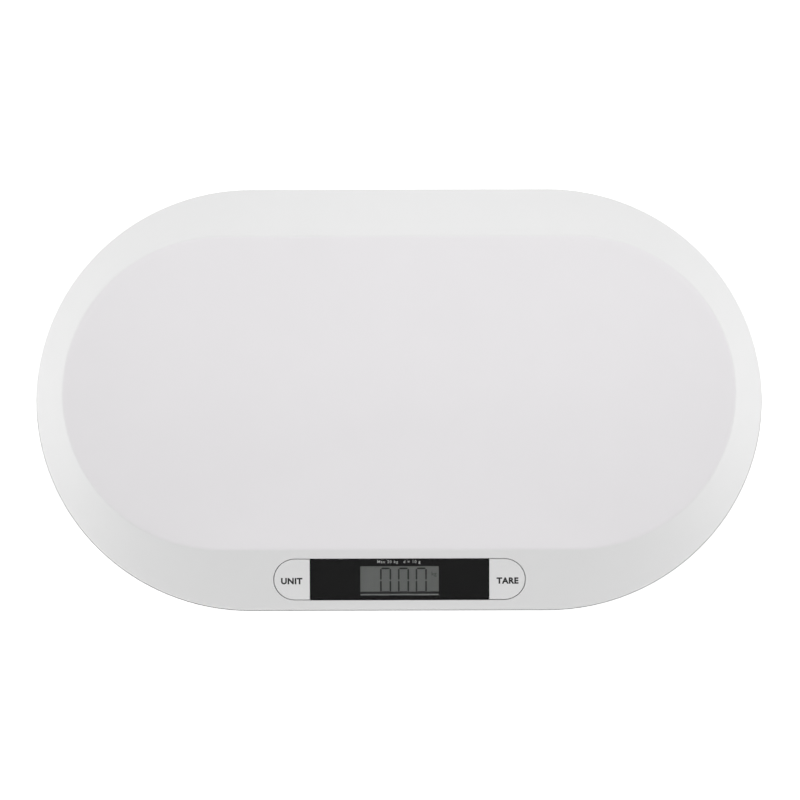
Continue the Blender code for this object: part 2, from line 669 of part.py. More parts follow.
def switch(name, side, panel):
    """A push switch on the board, and its plunger under the key's stem."""
    x = side * KEY_MIDDLE
    half = SWITCH_SIDE / 2
    bm = block(bmesh.new(), (x - half, -half, SWITCH_BOTTOM), (x + half, half, SWITCH_TOP))
    body = add_piece(name, bm, "black_abs", parent=panel)
    well = PLUNGER_RADIUS + PLUNGER_GAP
    low, high = SWITCH_TOP - SWITCH_WELL, SWITCH_TOP + SWITCH_WELL
    hole = turn(bmesh.new(), [(0, low), (well, low), (well, high), (0, high)], (x, 0))
    combine(body, "DIFFERENCE", name + "_well", hole, panel)
    low = SWITCH_TOP - SWITCH_WELL + PLUNGER_SPARE + KEY_TRAVEL
    profile = [(0, low), (PLUNGER_RADIUS, low), (PLUNGER_RADIUS, PLUNGER_TOP), (0, PLUNGER_TOP)]
    add_piece(name + "_plunger", turn(bmesh.new(), profile), "grey_nylon", (x, 0, 0), panel)


def display_lens(panel):
    height = PANEL_HEIGHT - 2 * LENS_GAP
    bottom = CARRIER_TOP + SEAT_GAP
    bm = plate(bmesh.new(), rectangle(LENS_LENGTH, height), [], bottom, -LENS_RECESS)
    add_piece("display_lens", bm, "smoked_acrylic", parent=panel)


def display_carrier(panel):
    """Frame behind the rim, with a window for the LCD, holes for the keys and posts to the board."""
    window = rectangle(LCD_LENGTH + 2 * LCD_GAP, LCD_HEIGHT + 2 * LCD_GAP, (0, -LCD_DROP))
    keys = []
    for side in (-1, 1):
        ring = key_ring(PILL_RADIUS + KEY_LAP + KEY_GAP, LENS_LENGTH / 2, 0, side)
        keys.append([(side * KEY_MIDDLE + x, y) for x, y, _ in ring])
    bosses = [circle(BOARD_BOSS_RADIUS + LENS_GAP, place) for place in four_places(BOARD_SCREWS)]
    outline = round_rectangle(CARRIER_LENGTH, CARRIER_HEIGHT, CARRIER_CORNER)
    bm = plate(bmesh.new(), outline, [window, *keys, *bosses], CARRIER_BOTTOM, CARRIER_TOP)
    carrier = add_piece("display_carrier", bm, "black_abs", parent=panel)
    posts = bmesh.new()
    low, high = BOARD_TOP + SEAT_GAP, CARRIER_BOTTOM + CARRIER_WALL / 2
    for place in four_places(CARRIER_POSTS):
        profile = [(0, low), (CARRIER_POST_RADIUS, low), (CARRIER_POST_RADIUS, high), (0, high)]
        turn(posts, profile, place)
    combine(carrier, "UNION", "carrier_posts", posts, panel)


def display_stack(panel):
    """LCD, its contact strip, the board and the chip, one behind the other."""
    outline = rectangle(LCD_LENGTH, LCD_HEIGHT, (0, -LCD_DROP))
    add_piece("lcd_glass", plate(bmesh.new(), outline, [], LCD_BOTTOM, LCD_TOP), "lcd", parent=panel)
    strip_y = -LCD_DROP - LCD_HEIGHT / 2 + CONNECTOR_INSET
    outline = rectangle(CONNECTOR_LENGTH, CONNECTOR_WIDTH, (0, strip_y))
    strip = plate(bmesh.new(), outline, [], CONNECTOR_BOTTOM, CONNECTOR_TOP)
    add_piece("lcd_connector", strip, "silicone", parent=panel)
    holes = [circle(BOARD_SCREW_RADIUS + HOLE_GAP, place) for place in four_places(BOARD_SCREWS)]
    outline = round_rectangle(BOARD_LENGTH, BOARD_HEIGHT, BOARD_CORNER)
    board = plate(bmesh.new(), outline, holes, BOARD_BOTTOM, BOARD_TOP)
    add_piece("main_board", board, "board", parent=panel)
    top = BOARD_BOTTOM - SEAT_GAP
    low = top - CHIP_HEIGHT
    edge = [(CHIP_RADIUS, top), (CHIP_RADIUS, low + CHIP_ROUND), (CHIP_RADIUS - CHIP_ROUND, low)]
    dome = [(0, top), *edge, (0, low)]
    add_piece("controller_chip", turn(bmesh.new(), dome, (CHIP_OFFSET, 0)), "epoxy", parent=panel)


def board_screws(panel):
    top = BOARD_BOTTOM - SEAT_GAP
    profile = [
        (0, top - BOARD_HEAD_HEIGHT),
        (BOARD_HEAD_RADIUS, top - BOARD_HEAD_HEIGHT),
        (BOARD_HEAD_RADIUS, top),
        (BOARD_SCREW_RADIUS, top),
        (BOARD_SCREW_RADIUS, top + BOARD_SCREW_LENGTH - BOARD_SCREW_RADIUS),
        (0, top + BOARD_SCREW_LENGTH),
    ]
    mesh = finished_mesh("board_screw", turn(bmesh.new(), profile, segments=12))
    for number, (x, y) in enumerate(four_places(BOARD_SCREWS), 1):
        add_object(f"board_screw_{number}", mesh, "steel", (x, y, 0), panel)


# Feet, load cells and case screws


def foot_mesh():
    """A foot with a recess for its pad, and a stem with a snap lip above the base's floor."""
    bottom = PAD_PROUD
    top = STANDOFF - FOOT_HEADROOM
    snap = FLOOR_Z + SNAP_PLAY
    stem_top = CELL_Z - CELL_TRAVEL - FOOT_PLAY
    seat = PAD_HEIGHT + SEAT_GAP
    profile = [
        (0, seat),
        (PAD_RADIUS + SEAT_GAP, seat),
        (PAD_RADIUS + SEAT_GAP, bottom),
        (FOOT_RADIUS - FOOT_CHAMFER, bottom),
        (FOOT_RADIUS, bottom + FOOT_CHAMFER),
        (FOOT_RADIUS, top - FOOT_CHAMFER),
        (FOOT_RADIUS - FOOT_CHAMFER, top),
        (STEM_RADIUS, top),
        (STEM_RADIUS, snap),
        (STEM_RADIUS + SNAP_LIP, snap),
        (STEM_RADIUS, snap + SNAP_HEIGHT),
        (STEM_RADIUS, stem_top),
        (0, stem_top),
    ]
    return finished_mesh("foot", turn(bmesh.new(), profile, segments=FOOT_SEGMENTS))


def pad_mesh():
    edge = PAD_PROUD / 2
    profile = [(0, 0), (PAD_RADIUS - edge, 0), (PAD_RADIUS, edge), (PAD_RADIUS, PAD_HEIGHT), (0, PAD_HEIGHT)]
    return finished_mesh("foot_pad", turn(bmesh.new(), profile, segments=FOOT_SEGMENTS))


def cell_mesh():
    """A square steel plate whose middle tongue is cut free on three sides and carries the foot."""
    inner = CELL_SIDE / 2 - CELL_FRAME
    tongue = CELL_TONGUE / 2
    slot = [
        (-inner, inner),
        (-inner, -inner),
        (inner, -inner),
        (inner, inner),
        (tongue, inner),
        (tongue, -tongue),
        (-tongue, -tongue),
        (-tongue, inner),
    ]
    bm = plate(bmesh.new(), rectangle(CELL_SIDE, CELL_SIDE), [slot], CELL_Z, CELL_TOP)
    return finished_mesh("load_cell", bm)


def retainer_mesh():
    """A cap over the cell: walls down to the base's floor and a roof with a window."""
    inner = CELL_SIDE + 2 * RETAINER_GAP
    bottom = FLOOR_Z + SEAT_GAP
    roof = CELL_TOP + SEAT_GAP
    sizes = (
        (RETAINER_SIDE, bottom),
        (RETAINER_SIDE, RETAINER_Z),
        (RETAINER_WINDOW, RETAINER_Z),
        (RETAINER_WINDOW, roof),
        (inner, roof),
        (inner, bottom),
    )
    rings = [rectangle_ring(width, width, z) for width, z in sizes]
    return finished_mesh("cell_retainer", loft(bmesh.new(), rings, cyclic=True))


def weighing_feet():
    meshes = {
        "foot": (foot_mesh(), "grey_nylon"),
        "foot_pad": (pad_mesh(), "rubber"),
        "load_cell": (cell_mesh(), "steel"),
        "cell_retainer": (retainer_mesh(), "black_abs"),
    }
    for corner, (side, end) in CORNERS.items():
        for name, (mesh, finish) in meshes.items():
            obj = add_object(f"{name}_{corner}", mesh, finish, (side * FOOT_X, end * FOOT_Y, 0))
            # The tongue's root points to the middle of the case.
            obj.rotation_euler = (0, 0, pi if end > 0 else 0)


def case_screws():
    head = POST_TOP - POST_WEB - SEAT_GAP
    tip = head + SCREW_LENGTH
    profile = [
        (0, head - HEAD_HEIGHT),
        (HEAD_RADIUS - HEAD_ROUND, head - HEAD_HEIGHT),
        (HEAD_RADIUS, head - HEAD_HEIGHT + HEAD_ROUND),
        (HEAD_RADIUS, head),
        (SCREW_RADIUS, head),
        (SCREW_RADIUS, tip - SCREW_RADIUS),
        (0, tip),
    ]
    mesh = finished_mesh("case_screw", turn(bmesh.new(), profile))
    for number, (x, y) in enumerate(SCREW_PLACES, 1):
        add_object(f"case_screw_{number}", mesh, "steel", (x, y, 0))


# Battery box


def battery_row():
    """(place across the box, direction of the positive end) of each cell."""
    first = BATTERY_BACK - BATTERY_PITCH * (CELL_COUNT - 1) / 2
    return [(first + BATTERY_PITCH * i, -1 if i % 2 == 0 else 1) for i in range(CELL_COUNT)]


def batteries():
    body = BATTERY_LENGTH - NUB_LENGTH
    edge = NUB_LENGTH / 2
    profile = [
        (0, 0),
        (BATTERY_RADIUS - edge, 0),
        (BATTERY_RADIUS, edge),
        (BATTERY_RADIUS, body - edge),
        (BATTERY_RADIUS - edge, body),
        (NUB_RADIUS, body),
        (NUB_RADIUS, BATTERY_LENGTH),
        (0, BATTERY_LENGTH),
    ]
    mesh = finished_mesh("battery", turn(bmesh.new(), profile))
    for number, (y, way) in enumerate(battery_row(), 1):
        tail = way * (PLATE_FACE - SEAT_GAP - BATTERY_LENGTH)
        obj = add_object(f"battery_{number}", mesh, "battery_sleeve", (tail, y, BATTERY_Z))
        obj.rotation_euler = (0, way * pi / 2, 0)


def contacts():
    """End plates that join the cells in a row, with the first and the last on plates of their own."""
    places = [y for y, _ in battery_row()]
    plates = {
        "battery_contact_plus": (-1, places[:1]),
        "battery_bridge_left": (-1, places[1:]),
        "battery_bridge_right": (1, places[:-1]),
        "battery_contact_minus": (1, places[-1:]),
    }
    for name, (side, spots) in plates.items():
        low_y, high_y = spots[0] - CONTACT_WIDTH / 2, spots[-1] + CONTACT_WIDTH / 2
        near, far = sorted((side * PLATE_FACE, side * PLATE_X))
        half = CONTACT_HEIGHT / 2
        bm = block(bmesh.new(), (near, low_y, BATTERY_Z - half), (far, high_y, BATTERY_Z + half))
        add_piece(name, bm, "nickel")


def tube(name, points, radius, finish):
    """A six-sided tube with closed ends along a line of points."""
    curve = bpy.data.curves.new(name, "CURVE")
    curve.dimensions = "3D"
    curve.bevel_depth = radius
    curve.bevel_resolution = 1
    curve.use_fill_caps = True
    spline = curve.splines.new("POLY")
    spline.points.add(len(points) - 1)
    for point, place in zip(spline.points, points):
        point.co = (*place, 1)
    return add_object(name, curve, finish)


def least_gap(points, apart):
    """The least clear space between turns of a coil, from its points that lie some way apart along it."""
    pairs = [(a, b) for i, a in enumerate(points) for b in points[i + apart :]]
    return min((a - b).length for a, b in pairs) - 2 * SPRING_WIRE


def contact_springs():
    """A coil between the flat end of each cell and the contact plate behind it."""
    for number, (y, way) in enumerate(battery_row(), 1):
        start = -way * (PLATE_FACE - SEAT_GAP - SPRING_WIRE)
        end = start + way * (SPRING_LENGTH - 2 * SPRING_WIRE)
        count = SPRING_TURNS * SPRING_POINTS
        points = []
        for i in range(count + 1):
            angle = 2 * pi * i / SPRING_POINTS
            across = Vector((0, SPRING_RADIUS * cos(angle), SPRING_RADIUS * sin(angle)))
            points.append(Vector((start + (end - start) * i / count, y, BATTERY_Z)) + across)
        name = f"battery_spring_{number}"
        print(f"{name}: least gap to itself {least_gap(points, SPRING_POINTS // 2) / MM:.2f} mm")
        tube(name, points, SPRING_WIRE, "nickel")


def battery_door():
    """A flat door with two tabs that hook over the base's floor. Its origin is on its turning edge."""
    length = RECESS_LENGTH - 2 * DOOR_GAP
    width = RECESS_WIDTH - 2 * DOOR_GAP
    place = (0, DOOR_HINGE_Y, STANDOFF)
    door = add_piece(
        "battery_door",
        block(bmesh.new(), (-length / 2, 0, 0), (length / 2, width, DOOR_WALL)),
        "base_abs",
        place,
    )
    tab_low = FLOOR_Z - STANDOFF + SEAT_GAP
    tabs = bmesh.new()
    for x in tab_places():
        half = TAB_WIDTH / 2
        outline = [
            (TAB_ROOT, DOOR_WALL / 2),
            (TAB_ROOT, tab_low + TAB_WALL),
            (-TAB_REACH, tab_low + TAB_WALL),
            (-TAB_REACH, tab_low),
            (DOOR_GAP / 2, tab_low),
            (DOOR_GAP / 2, DOOR_WALL / 2),
        ]
        loft(tabs, [[(x + half * end, y, z) for y, z in outline] for end in (-1, 1)])
    helper_frame = add_frame("battery_hinge", place)
    combine(door, "UNION", "door_tabs", tabs, helper_frame)


# Leads


def smooth_route(points):
    """Points at even steps along a smooth curve through the route's own points."""
    knots = [Vector(p) for p in points]
    knots = [2 * knots[0] - knots[1], *knots, 2 * knots[-1] - knots[-2]]
    line = []
    for a, b, c, d in zip(knots, knots[1:], knots[2:], knots[3:]):
        count = max(2, round((c - b).length / LEAD_STEP))
        for i in range(count):
            t = i / count
            square = (2 * a - 5 * b + 4 * c - d) * t**2
            cube = (3 * b - a - 3 * c + d) * t**3
            line.append((2 * b + (c - a) * t + square + cube) / 2)
    return line + [knots[-2]]


def board_end(panel, x):
    """The last points of a lead, square to the back of the board."""
    to_board = Matrix.Translation(panel.location) @ Matrix.Rotation(RIM_SLOPE, 4, "X")
    back = BOARD_BOTTOM - SEAT_GAP
    return [to_board @ Vector((x, 0, back - length)) for length in (2 * LEAD_STEP, LEAD_STEP, 0)]


def leads(panel):
    """Wire bundles along the base's floor, from the load cells and the battery box to the board."""
    floor = FLOOR_Z + LEAD_RADIUS + SEAT_GAP
    for corner, (side, end) in CORNERS.items():
        x, y = side * FOOT_X, end * FOOT_Y
        root = y - end * (CELL_TONGUE / 2)
        clear = y - end * (RETAINER_SIDE / 2 + LEAD_STEP)
        route = [
            (x, root, CELL_TOP + SEAT_GAP),
            (x, root, (CELL_TOP + RETAINER_Z) / 2),
            (x, root, RETAINER_Z),
            (x - side * LEAD_STEP, (root + clear) / 2, RETAINER_Z + LEAD_STEP),
            (x - side * 2 * LEAD_STEP, clear, RETAINER_Z),
            (x - side * 4 * LEAD_STEP, clear - end * LEAD_STEP, floor + LEAD_RADIUS),
        ]
        way, board_x = (FRONT_LEAD, FRONT_LEAD_END) if end < 0 else (REAR_LEAD, REAR_LEAD_END)
        route += [(side * px, py, floor + pz) for px, py, pz in way]
        line = smooth_route(route + board_end(panel, side * board_x))
        tube(f"cell_lead_{corner}", line, LEAD_RADIUS, "pvc")
    front = BATTERY_BACK - BOX_WIDTH / 2 - BOX_WALL - SEAT_GAP
    height = (DOOR_SEAT + LEDGE_WALL + BOX_ROOF) / 2
    start_x = BATTERY_LEAD[0][0]
    route = [(start_x, front - length, height) for length in (0, LEAD_STEP / 2, LEAD_STEP)]
    route += [(px, py, floor + pz) for px, py, pz in BATTERY_LEAD]
    line = smooth_route(route + board_end(panel, BATTERY_LEAD_END))
    tube("battery_lead", line, LEAD_RADIUS, "pvc")


def main():
    clear_scene()
    panel_place = (0, -(RIDGE_RADIUS + OUTER_RADIUS) / 2, (RIDGE_Z + LIP_Z) / 2)
    panel = add_frame("display_panel", panel_place, RIM_SLOPE)
    tray_shell(panel)
    base_shell()
    display_lens(panel)
    display_carrier(panel)
    display_stack(panel)
    for name, side in (("unit", -1), ("tare", 1)):
        key(f"{name}_button", side, panel)
        switch(f"{name}_switch", side, panel)
    board_screws(panel)
    weighing_feet()
    case_screws()
    batteries()
    contacts()
    contact_springs()
    battery_door()
    leads(panel)
    bpy.context.view_layer.update()


main()
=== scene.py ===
"""Looks of the animal weighing scale: finer surfaces, display, marks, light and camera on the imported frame."""

from math import atan2, cos, hypot, pi, radians, sin

import bmesh
import bpy
from mathutils import Matrix, Vector


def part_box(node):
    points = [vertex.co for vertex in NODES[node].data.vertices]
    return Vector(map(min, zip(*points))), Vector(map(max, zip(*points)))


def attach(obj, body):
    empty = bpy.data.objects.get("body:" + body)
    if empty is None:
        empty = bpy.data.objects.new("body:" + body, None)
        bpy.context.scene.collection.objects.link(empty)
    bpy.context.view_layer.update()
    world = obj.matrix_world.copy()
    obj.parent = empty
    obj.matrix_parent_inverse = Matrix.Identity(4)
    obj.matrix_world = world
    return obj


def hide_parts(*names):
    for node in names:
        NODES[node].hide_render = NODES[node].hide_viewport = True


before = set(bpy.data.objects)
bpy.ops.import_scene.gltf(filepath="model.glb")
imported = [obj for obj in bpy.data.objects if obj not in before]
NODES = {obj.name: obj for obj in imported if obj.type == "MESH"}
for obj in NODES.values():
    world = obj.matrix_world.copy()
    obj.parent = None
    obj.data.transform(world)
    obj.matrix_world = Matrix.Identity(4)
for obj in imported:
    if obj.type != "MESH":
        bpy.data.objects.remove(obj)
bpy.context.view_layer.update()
MM = 0.001
WELD = 0.001 * MM  # points this close are one
SHARP_ANGLE = radians(32)  # edges that turn more than this stay crisp
RECTANGLE = ((-1, -1), (1, -1), (1, 1), (-1, 1))

# The two shells: sizes of the frame that their finer surfaces repeat
TRAY_LOW, TRAY_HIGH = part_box("tray_shell")
OUTER_RADIUS = (TRAY_HIGH.y - TRAY_LOW.y) / 2
OUTER_STRAIGHT = (TRAY_HIGH.x - TRAY_LOW.x) / 2 - OUTER_RADIUS
RIM_SIDE = 41.6 * MM
RIM_END = 20.5 * MM
RIM_RISE = 22 * MM
DISH_DEPTH = 16 * MM
DISH_FLAT = 24 * MM
LIP_HEIGHT = 5 * MM
LIP_WALL = 2.4 * MM
TRAY_WALL = 3 * MM
BASE_WALL = 2.5 * MM
HULL_TUCK = 36 * MM
SEAM_STEP = 1.5 * MM
SEAT_GAP = 0.3 * MM
TONGUE_INSET = 2.8 * MM
TONGUE_HEIGHT = 2 * MM
TONGUE_WALL = 1.8 * MM
STANDOFF = 7 * MM
SEAM_Z = 31 * MM
LIP_Z = SEAM_Z + LIP_HEIGHT
RIDGE_Z = LIP_Z + RIM_RISE
DISH_Z = RIDGE_Z - DISH_DEPTH
FLOOR_Z = STANDOFF + BASE_WALL
RIDGE_RADIUS = OUTER_RADIUS - RIM_SIDE
RIDGE_STRAIGHT = TRAY_HIGH.x - RIM_END - RIDGE_RADIUS
RIM_SLANT = hypot(RIM_SIDE, RIM_RISE)
RIM_SLOPE = atan2(RIM_RISE, RIM_SIDE)
FLOOR_RADIUS = OUTER_RADIUS - HULL_TUCK

# Their finer edges, the dark ring in the seam that paints its shadow, and the rings that draw the curves
RIDGE_ROUND = 2 * MM
LIP_ROUND = 1.5 * MM
SHADOW_RING_PROUD = 0.25 * MM  # how far the painted-shadow ring stands past the lip
SHADOW_RING_HEIGHT = 1.2 * MM
SHADOW_RING_CLEAR = 0.05 * MM
SHADOW_RING_ROUND = 0.2 * MM
BASE_TOP = SEAM_Z - SHADOW_RING_HEIGHT / 2 - SHADOW_RING_CLEAR
END_SEGMENTS = 64  # of a half-round end
DISH_RINGS = 28
UNDER_STEP = 4  # the dish's underside has every fourth ring
RIM_RINGS = 10
HULL_RINGS = 16

# The display panel, in the frame of the rim: X along it, Y up the slope, Z out of it
PANEL_PLACE = (0, -(RIDGE_RADIUS + OUTER_RADIUS) / 2, (RIDGE_Z + LIP_Z) / 2)
PANEL = Matrix.Translation(PANEL_PLACE) @ Matrix.Rotation(RIM_SLOPE, 4, "X")
PANEL_LENGTH = 190.7 * MM
PANEL_EDGE = 7 * MM
PANEL_HEIGHT = RIM_SLANT - 2 * PANEL_EDGE
PANEL_CHAMFER = 0.12 * MM
PILL_RADIUS = PANEL_HEIGHT / 2
PILL_STRAIGHT = PANEL_LENGTH / 2 - PILL_RADIUS
PILL_SEGMENTS = 32
LENS_LENGTH = 134.6 * MM
LENS_HEIGHT = PANEL_HEIGHT - 2 * SEAT_GAP
LENS_FACE = -0.1 * MM
LENS_BACK = LENS_FACE - 2.3 * MM
LENS_CORNER = 0.4 * MM
LENS_BEVEL = 0.2 * MM
FILM = (LENS_BACK - 0.3 * MM, LENS_BACK - 0.1 * MM)
KEY_GAP = 0.5 * MM
KEY_SHADOW = 0.7 * MM  # gap round the shown cap, a hair wider so that its shadow shows
KEY_INNER = LENS_LENGTH / 2 + KEY_GAP
KEY_MIDDLE = (KEY_INNER + PANEL_LENGTH / 2) / 2
KEY_LAP = 1 * MM
KEY_BACK = -TRAY_WALL - SEAT_GAP
KEY_FLANGE = 1.1 * MM
KEY_ROUND = 0.3 * MM
KEY_STEM = (0.21, 0.3 * MM)  # share of the flange, height
LCD_FACE = -TRAY_WALL - SEAT_GAP
WINDOW = (59.3 * MM, 23.2 * MM)
WINDOW_MIDDLE = -1.7 * MM
WINDOW_CORNER = 0.6 * MM
WINDOW_LAP = 2 * MM  # what lies behind the window is that much longer
LCD_LINE = (-12.3 * MM, -10.4 * MM)  # dark line under the digits
LCD_PRINT = LCD_FACE + 0.02 * MM
LCD_STRIP = 1.4 * MM
STRIP_CORNER = 0.1 * MM
DIGIT_PLACES = (-10.5 * MM, 3 * MM, 16.4 * MM)
DIGIT_WIDTH = 7.2 * MM
DIGIT_ENDS = (-10.8 * MM, 7.9 * MM)
SEGMENT_HALF = 0.62 * MM
SEGMENT_GAP = 0.3 * MM
CAPITAL = 0.69  # height of a capital as a share of the font's size
PRINT_HALF = 0.015 * MM  # half the thickness of printed ink

# The underside, as the frame has it
FEET = ("front_left", "front_right", "rear_left", "rear_right")
SCREWS = [f"case_screw_{number}" for number in range(1, 7)]
FOOT_RADIUS = 20 * MM
FOOT_ROUND = 1 * MM
FOOT_TOP = STANDOFF - 0.8 * MM
FOOT_SEGMENTS = 56
PAD_RADIUS = 17 * MM
PAD_HEIGHT = 2 * MM
PAD_ROUND = 0.9 * MM
PAD_GROOVES = (5 * MM, 8.5 * MM, 12 * MM)
PAD_GROOVE = 0.7 * MM
STEM_RADIUS = 7 * MM
STEM_HOLE = 7.6 * MM
SNAP_Z = FLOOR_Z + 0.5 * MM
SNAP = (1 * MM, 1.4 * MM)  # reach and height of a stem's snap lip
SEAT_RING = (33.4 * MM, 27 * MM)  # outside and inside of the square seat of a load cell
SEAT_CORNER = 0.5 * MM
SEAT_TOP = FLOOR_Z + 4.2 * MM
WELL_RADIUS = 3.6 * MM
WELL_FLARE = 0.5 * MM
WELL_TOP = STANDOFF + 5 * MM
POST_RADIUS = 5.6 * MM
POST_TOP = WELL_TOP + 2 * MM
SCREW_HOLE = 1.7 * MM
BOX_BACK = 30 * MM
BOX = (53 * MM, 33.7 * MM)
BOX_ROOF = 20.6 * MM
BOX_WALL = 2 * MM
BOX_CORNER = 1 * MM
RECESS = (61 * MM, 41.7 * MM)
RECESS_CORNER = 1.6 * MM
RECESS_TOP = STANDOFF + 2.3 * MM
LEDGE_WALL = 2.2 * MM
LEDGE_CORNER = 2 * MM
DOOR_GAP = 0.4 * MM
DOOR_WALL = 2 * MM
DOOR_CORNER = 1.2 * MM
DOOR_BEVEL = 0.4 * MM
TAB_PLACES = (-18 * MM, 18 * MM)
TAB_HALF = 4 * MM
TAB_REACH = 3 * MM
TAB_WALL = 1.4 * MM
TAB_ROOT = 1.6 * MM
SLOT = (4.4 * MM, 3.4 * MM)  # a tab's slot: depth behind the recess's edge, height over the base's floor
NOTCH = (18 * MM, 4 * MM)
NOTCH_CORNER = 3 * MM
GRIP_BAR = (18 * MM, 1 * MM, 0.45 * MM)
GRIP_PITCH = 2.2 * MM
GRIP_BARS = 5
GRIP_START = 4 * MM
GRIP_PROUD = 0.4 * MM
GRIP_ROOT = 0.6 * MM
ARROW = (14 * MM, 3 * MM, 5 * MM)  # place of its back, half width, length

# Camera, from the photograph
IMAGE_PX = 800
CASE_PX = 725.5  # length of the case in the image
CAMERA_ELEVATION = radians(78.6)
CAMERA_LENS = 600
CAMERA_SENSOR = 36
CAMERA_ROLL = radians(-0.15)
AIM = Vector((0.0007, -0.0009, 0.034))

# Soft lamps: name, place, point aimed at, size and power in watts
LAMPS = (
    ("overhead", (0.04, 0.15, 0.55), (0.04, 0.15, 0), (0.7, 0.3), 1.15),
    ("left", (-1, 0, 0.35), (0, 0, 0.04), (0.8, 0.6), 4.5),
    ("right", (1, 0, 0.35), (0, 0, 0.04), (0.8, 0.6), 4.3),
    ("rear", (0, 1, 0.45), (0, 0, 0.04), (1.2, 0.6), 4.3),
    ("front", (0, -1.1, 0.34), (0, 0, 0.04), (1.2, 0.5), 4.85),
    ("below", (0, 0, -0.5), (0, 0, 0), (0.5, 0.28), 1.2),
)
WORLD_STRENGTH = 0.24
FLOOR_COLOUR = "#DCDCDC"
FLOOR_GLOW = 0.62
FLOOR_HALF = 30  # metres, so that no view shows its edge

# Sizes of the patterns in the finishes
FLOW_PATCH = 33 * MM  # uneven colour in moulded plastic
GRAIN = 0.6 * MM  # of a spark-eroded tool, coarser than real ones so that it shows
GRAIN_DEPTH = 0.012 * MM
GRAIN_GLOSS = 0.06  # roughness either way
GRAIN_TONE = 0.012  # share of the colour either way
DRAW_MARK = 1.1 * MM  # drawing marks on metal, coarser than real ones so that they show
DRAW_DEPTH = 0.01 * MM
DRAW_GLOSS = (-0.1, 0.12)
DRAW_TONES = (0.9, 1.05)
ACRYLIC_WAVE = 17 * MM
ACRYLIC_DEPTH = 0.005 * MM
TRACK_PITCH = 11 * MM  # copper tracks, wider apart than real ones so that they show
TRACK_SHARE = 0.03

# Moulded and printed finishes: colour, roughness, and where they differ, depth and size of grain and unevenness
INK = {"depth": 0.003 * MM}
FILMED = {"depth": 0.004 * MM}
GLASS = {"depth": 0.002 * MM}
RUBBERY = {"grain": 0.3 * MM, "depth": 0.03 * MM, "uneven": 0.04}
MOULDED = {
    # ABS from a finely eroded tool: an even white with wide, soft highlights
    "white_abs": ("#E8E8E8", 0.55, {}),
    # The same ABS in the dish, from a duller tool with hardly any shine, with painted light: a touch lighter and
    # a trace of lavender on its upward faces, the tint of the light over the dish
    "dish_abs_painted_light": ("#EAE8EA", 0.6, {}),
    # ABS of the key caps, from a smoother tool: a little crisper in the light than the rim round them
    "key_abs": ("#EAEAEA", 0.45, {}),
    # ABS of the base, from a coarser tool, also drawn coarser: its shade breaks up into a fine speckle
    "base_abs": ("#E4E4E3", 0.5, {"grain": 0.8 * MM, "depth": 0.03 * MM}),
    # Black ABS: dull, with a fine grain
    "black_abs": ("#202021", 0.5, {"depth": 0.02 * MM}),
    # Lacquer on the back of the window: deep black with no shine of its own
    "black_print": ("#0A0A0B", 0.5, {**INK, "Specular_IOR_Level": 0.0}),
    # Printing ink: crisp satin near-black
    "dark_print": ("#121314", 0.5, INK),
    # A sign of the display that is faintly on: little darker than its ground
    "faint_print": ("#4A4C4B", 0.5, INK),
    # Pale ink on the lacquer: small and off-white
    "pale_print": ("#F0F0EE", 0.5, INK),
    # Polarising film of the display: a cold satin grey, painted lighter than its own to make up for the light
    # that the clear pane keeps from it
    "lcd": ("#929491", 0.3, GLASS),
    # A band across the bottom of the display's window: the same grey, but paler
    "lcd_pale_band": ("#C6C8C6", 0.3, GLASS),
    # Moulded nylon: flat mid grey
    "grey_nylon": ("#9A9C9E", 0.5, {}),
    # Soft rubber of the pads: dull grey with a dry mottle
    "rubber": ("#6F7072", 0.75, RUBBERY),
    # Painted shadow in the seam: a dull dark ring of rubbery grey, where shade falls between the tray and the
    # base
    "painted_seam_shadow": ("#47484A", 0.7, RUBBERY),
    # Conducting silicone: dull pinkish brown
    "contact_rubber": ("#B98F86", 0.6, {}),
    # Potting resin: a glossy black drop
    "epoxy": ("#16161A", 0.25, {}),
    # Soft PVC of the wires: pale satin grey
    "wire_sleeve": ("#B9B9B7", 0.5, {}),
    # Shrunk film on the cells: dark, smooth and shiny
    "battery_sleeve": ("#2A2F38", 0.3, FILMED),
    # The film's copper-coloured band: warm, and as shiny
    "battery_band": ("#B98A4A", 0.3, FILMED),
}
METALS = {
    # Plated steel: a cool grey shine, broken by fine marks
    "steel": ("#C9CACC", 0.32),
    # Nickel plate on springs and contacts: brighter, and a little warm
    "nickel": ("#D2CFC8", 0.28),
}

# CAD nodes that show as they are: a finish and the starts of their names, a later row over an earlier one
SHOWN_NODES = (
    ("lcd", "lcd_glass"),
    ("contact_rubber", "lcd_connector"),
    ("board", "main_board"),
    ("epoxy", "controller_chip"),
    ("black_abs", "display_carrier", "unit_switch", "tare_switch", "cell_retainer"),
    ("grey_nylon", "unit_switch_plunger", "tare_switch_plunger"),
    ("steel", "board_screw", "load_cell"),
    ("nickel", "battery_contact", "battery_bridge"),
    ("wire_sleeve", "cell_lead", "battery_lead"),
)


# Finishes


def linear(colour):
    """A sRGB hex colour as linear RGBA."""
    parts = [int(colour[i : i + 2], 16) / 255 for i in (1, 3, 5)]
    return (*[p / 12.92 if p <= 0.04045 else ((p + 0.055) / 1.055) ** 2.4 for p in parts], 1)


def shaded(colour, share):
    """A sRGB hex colour, darker or lighter by a share, as linear RGBA."""
    return [c * share for c in linear(colour)[:3]] + [1]


def add_node(tree, kind, inputs=None, **settings):
    """A shader node with its settings, and its inputs set to values or linked to sockets."""
    node = tree.nodes.new(kind)
    for name, value in settings.items():
        setattr(node, name, value)
    for name, value in (inputs or {}).items():
        if isinstance(value, bpy.types.NodeSocket):
            tree.links.new(value, node.inputs[name])
        else:
            node.inputs[name].default_value = value
    return node


def new_material(name, **values):
    """A node material whose Principled shader has these values: (material, tree, shader)."""
    made = bpy.data.materials.new(name)
    made.use_nodes = True
    shader = made.node_tree.nodes["Principled BSDF"]
    for socket, value in values.items():
        shader.inputs[socket.replace("_", " ")].default_value = value
    return made, made.node_tree, shader


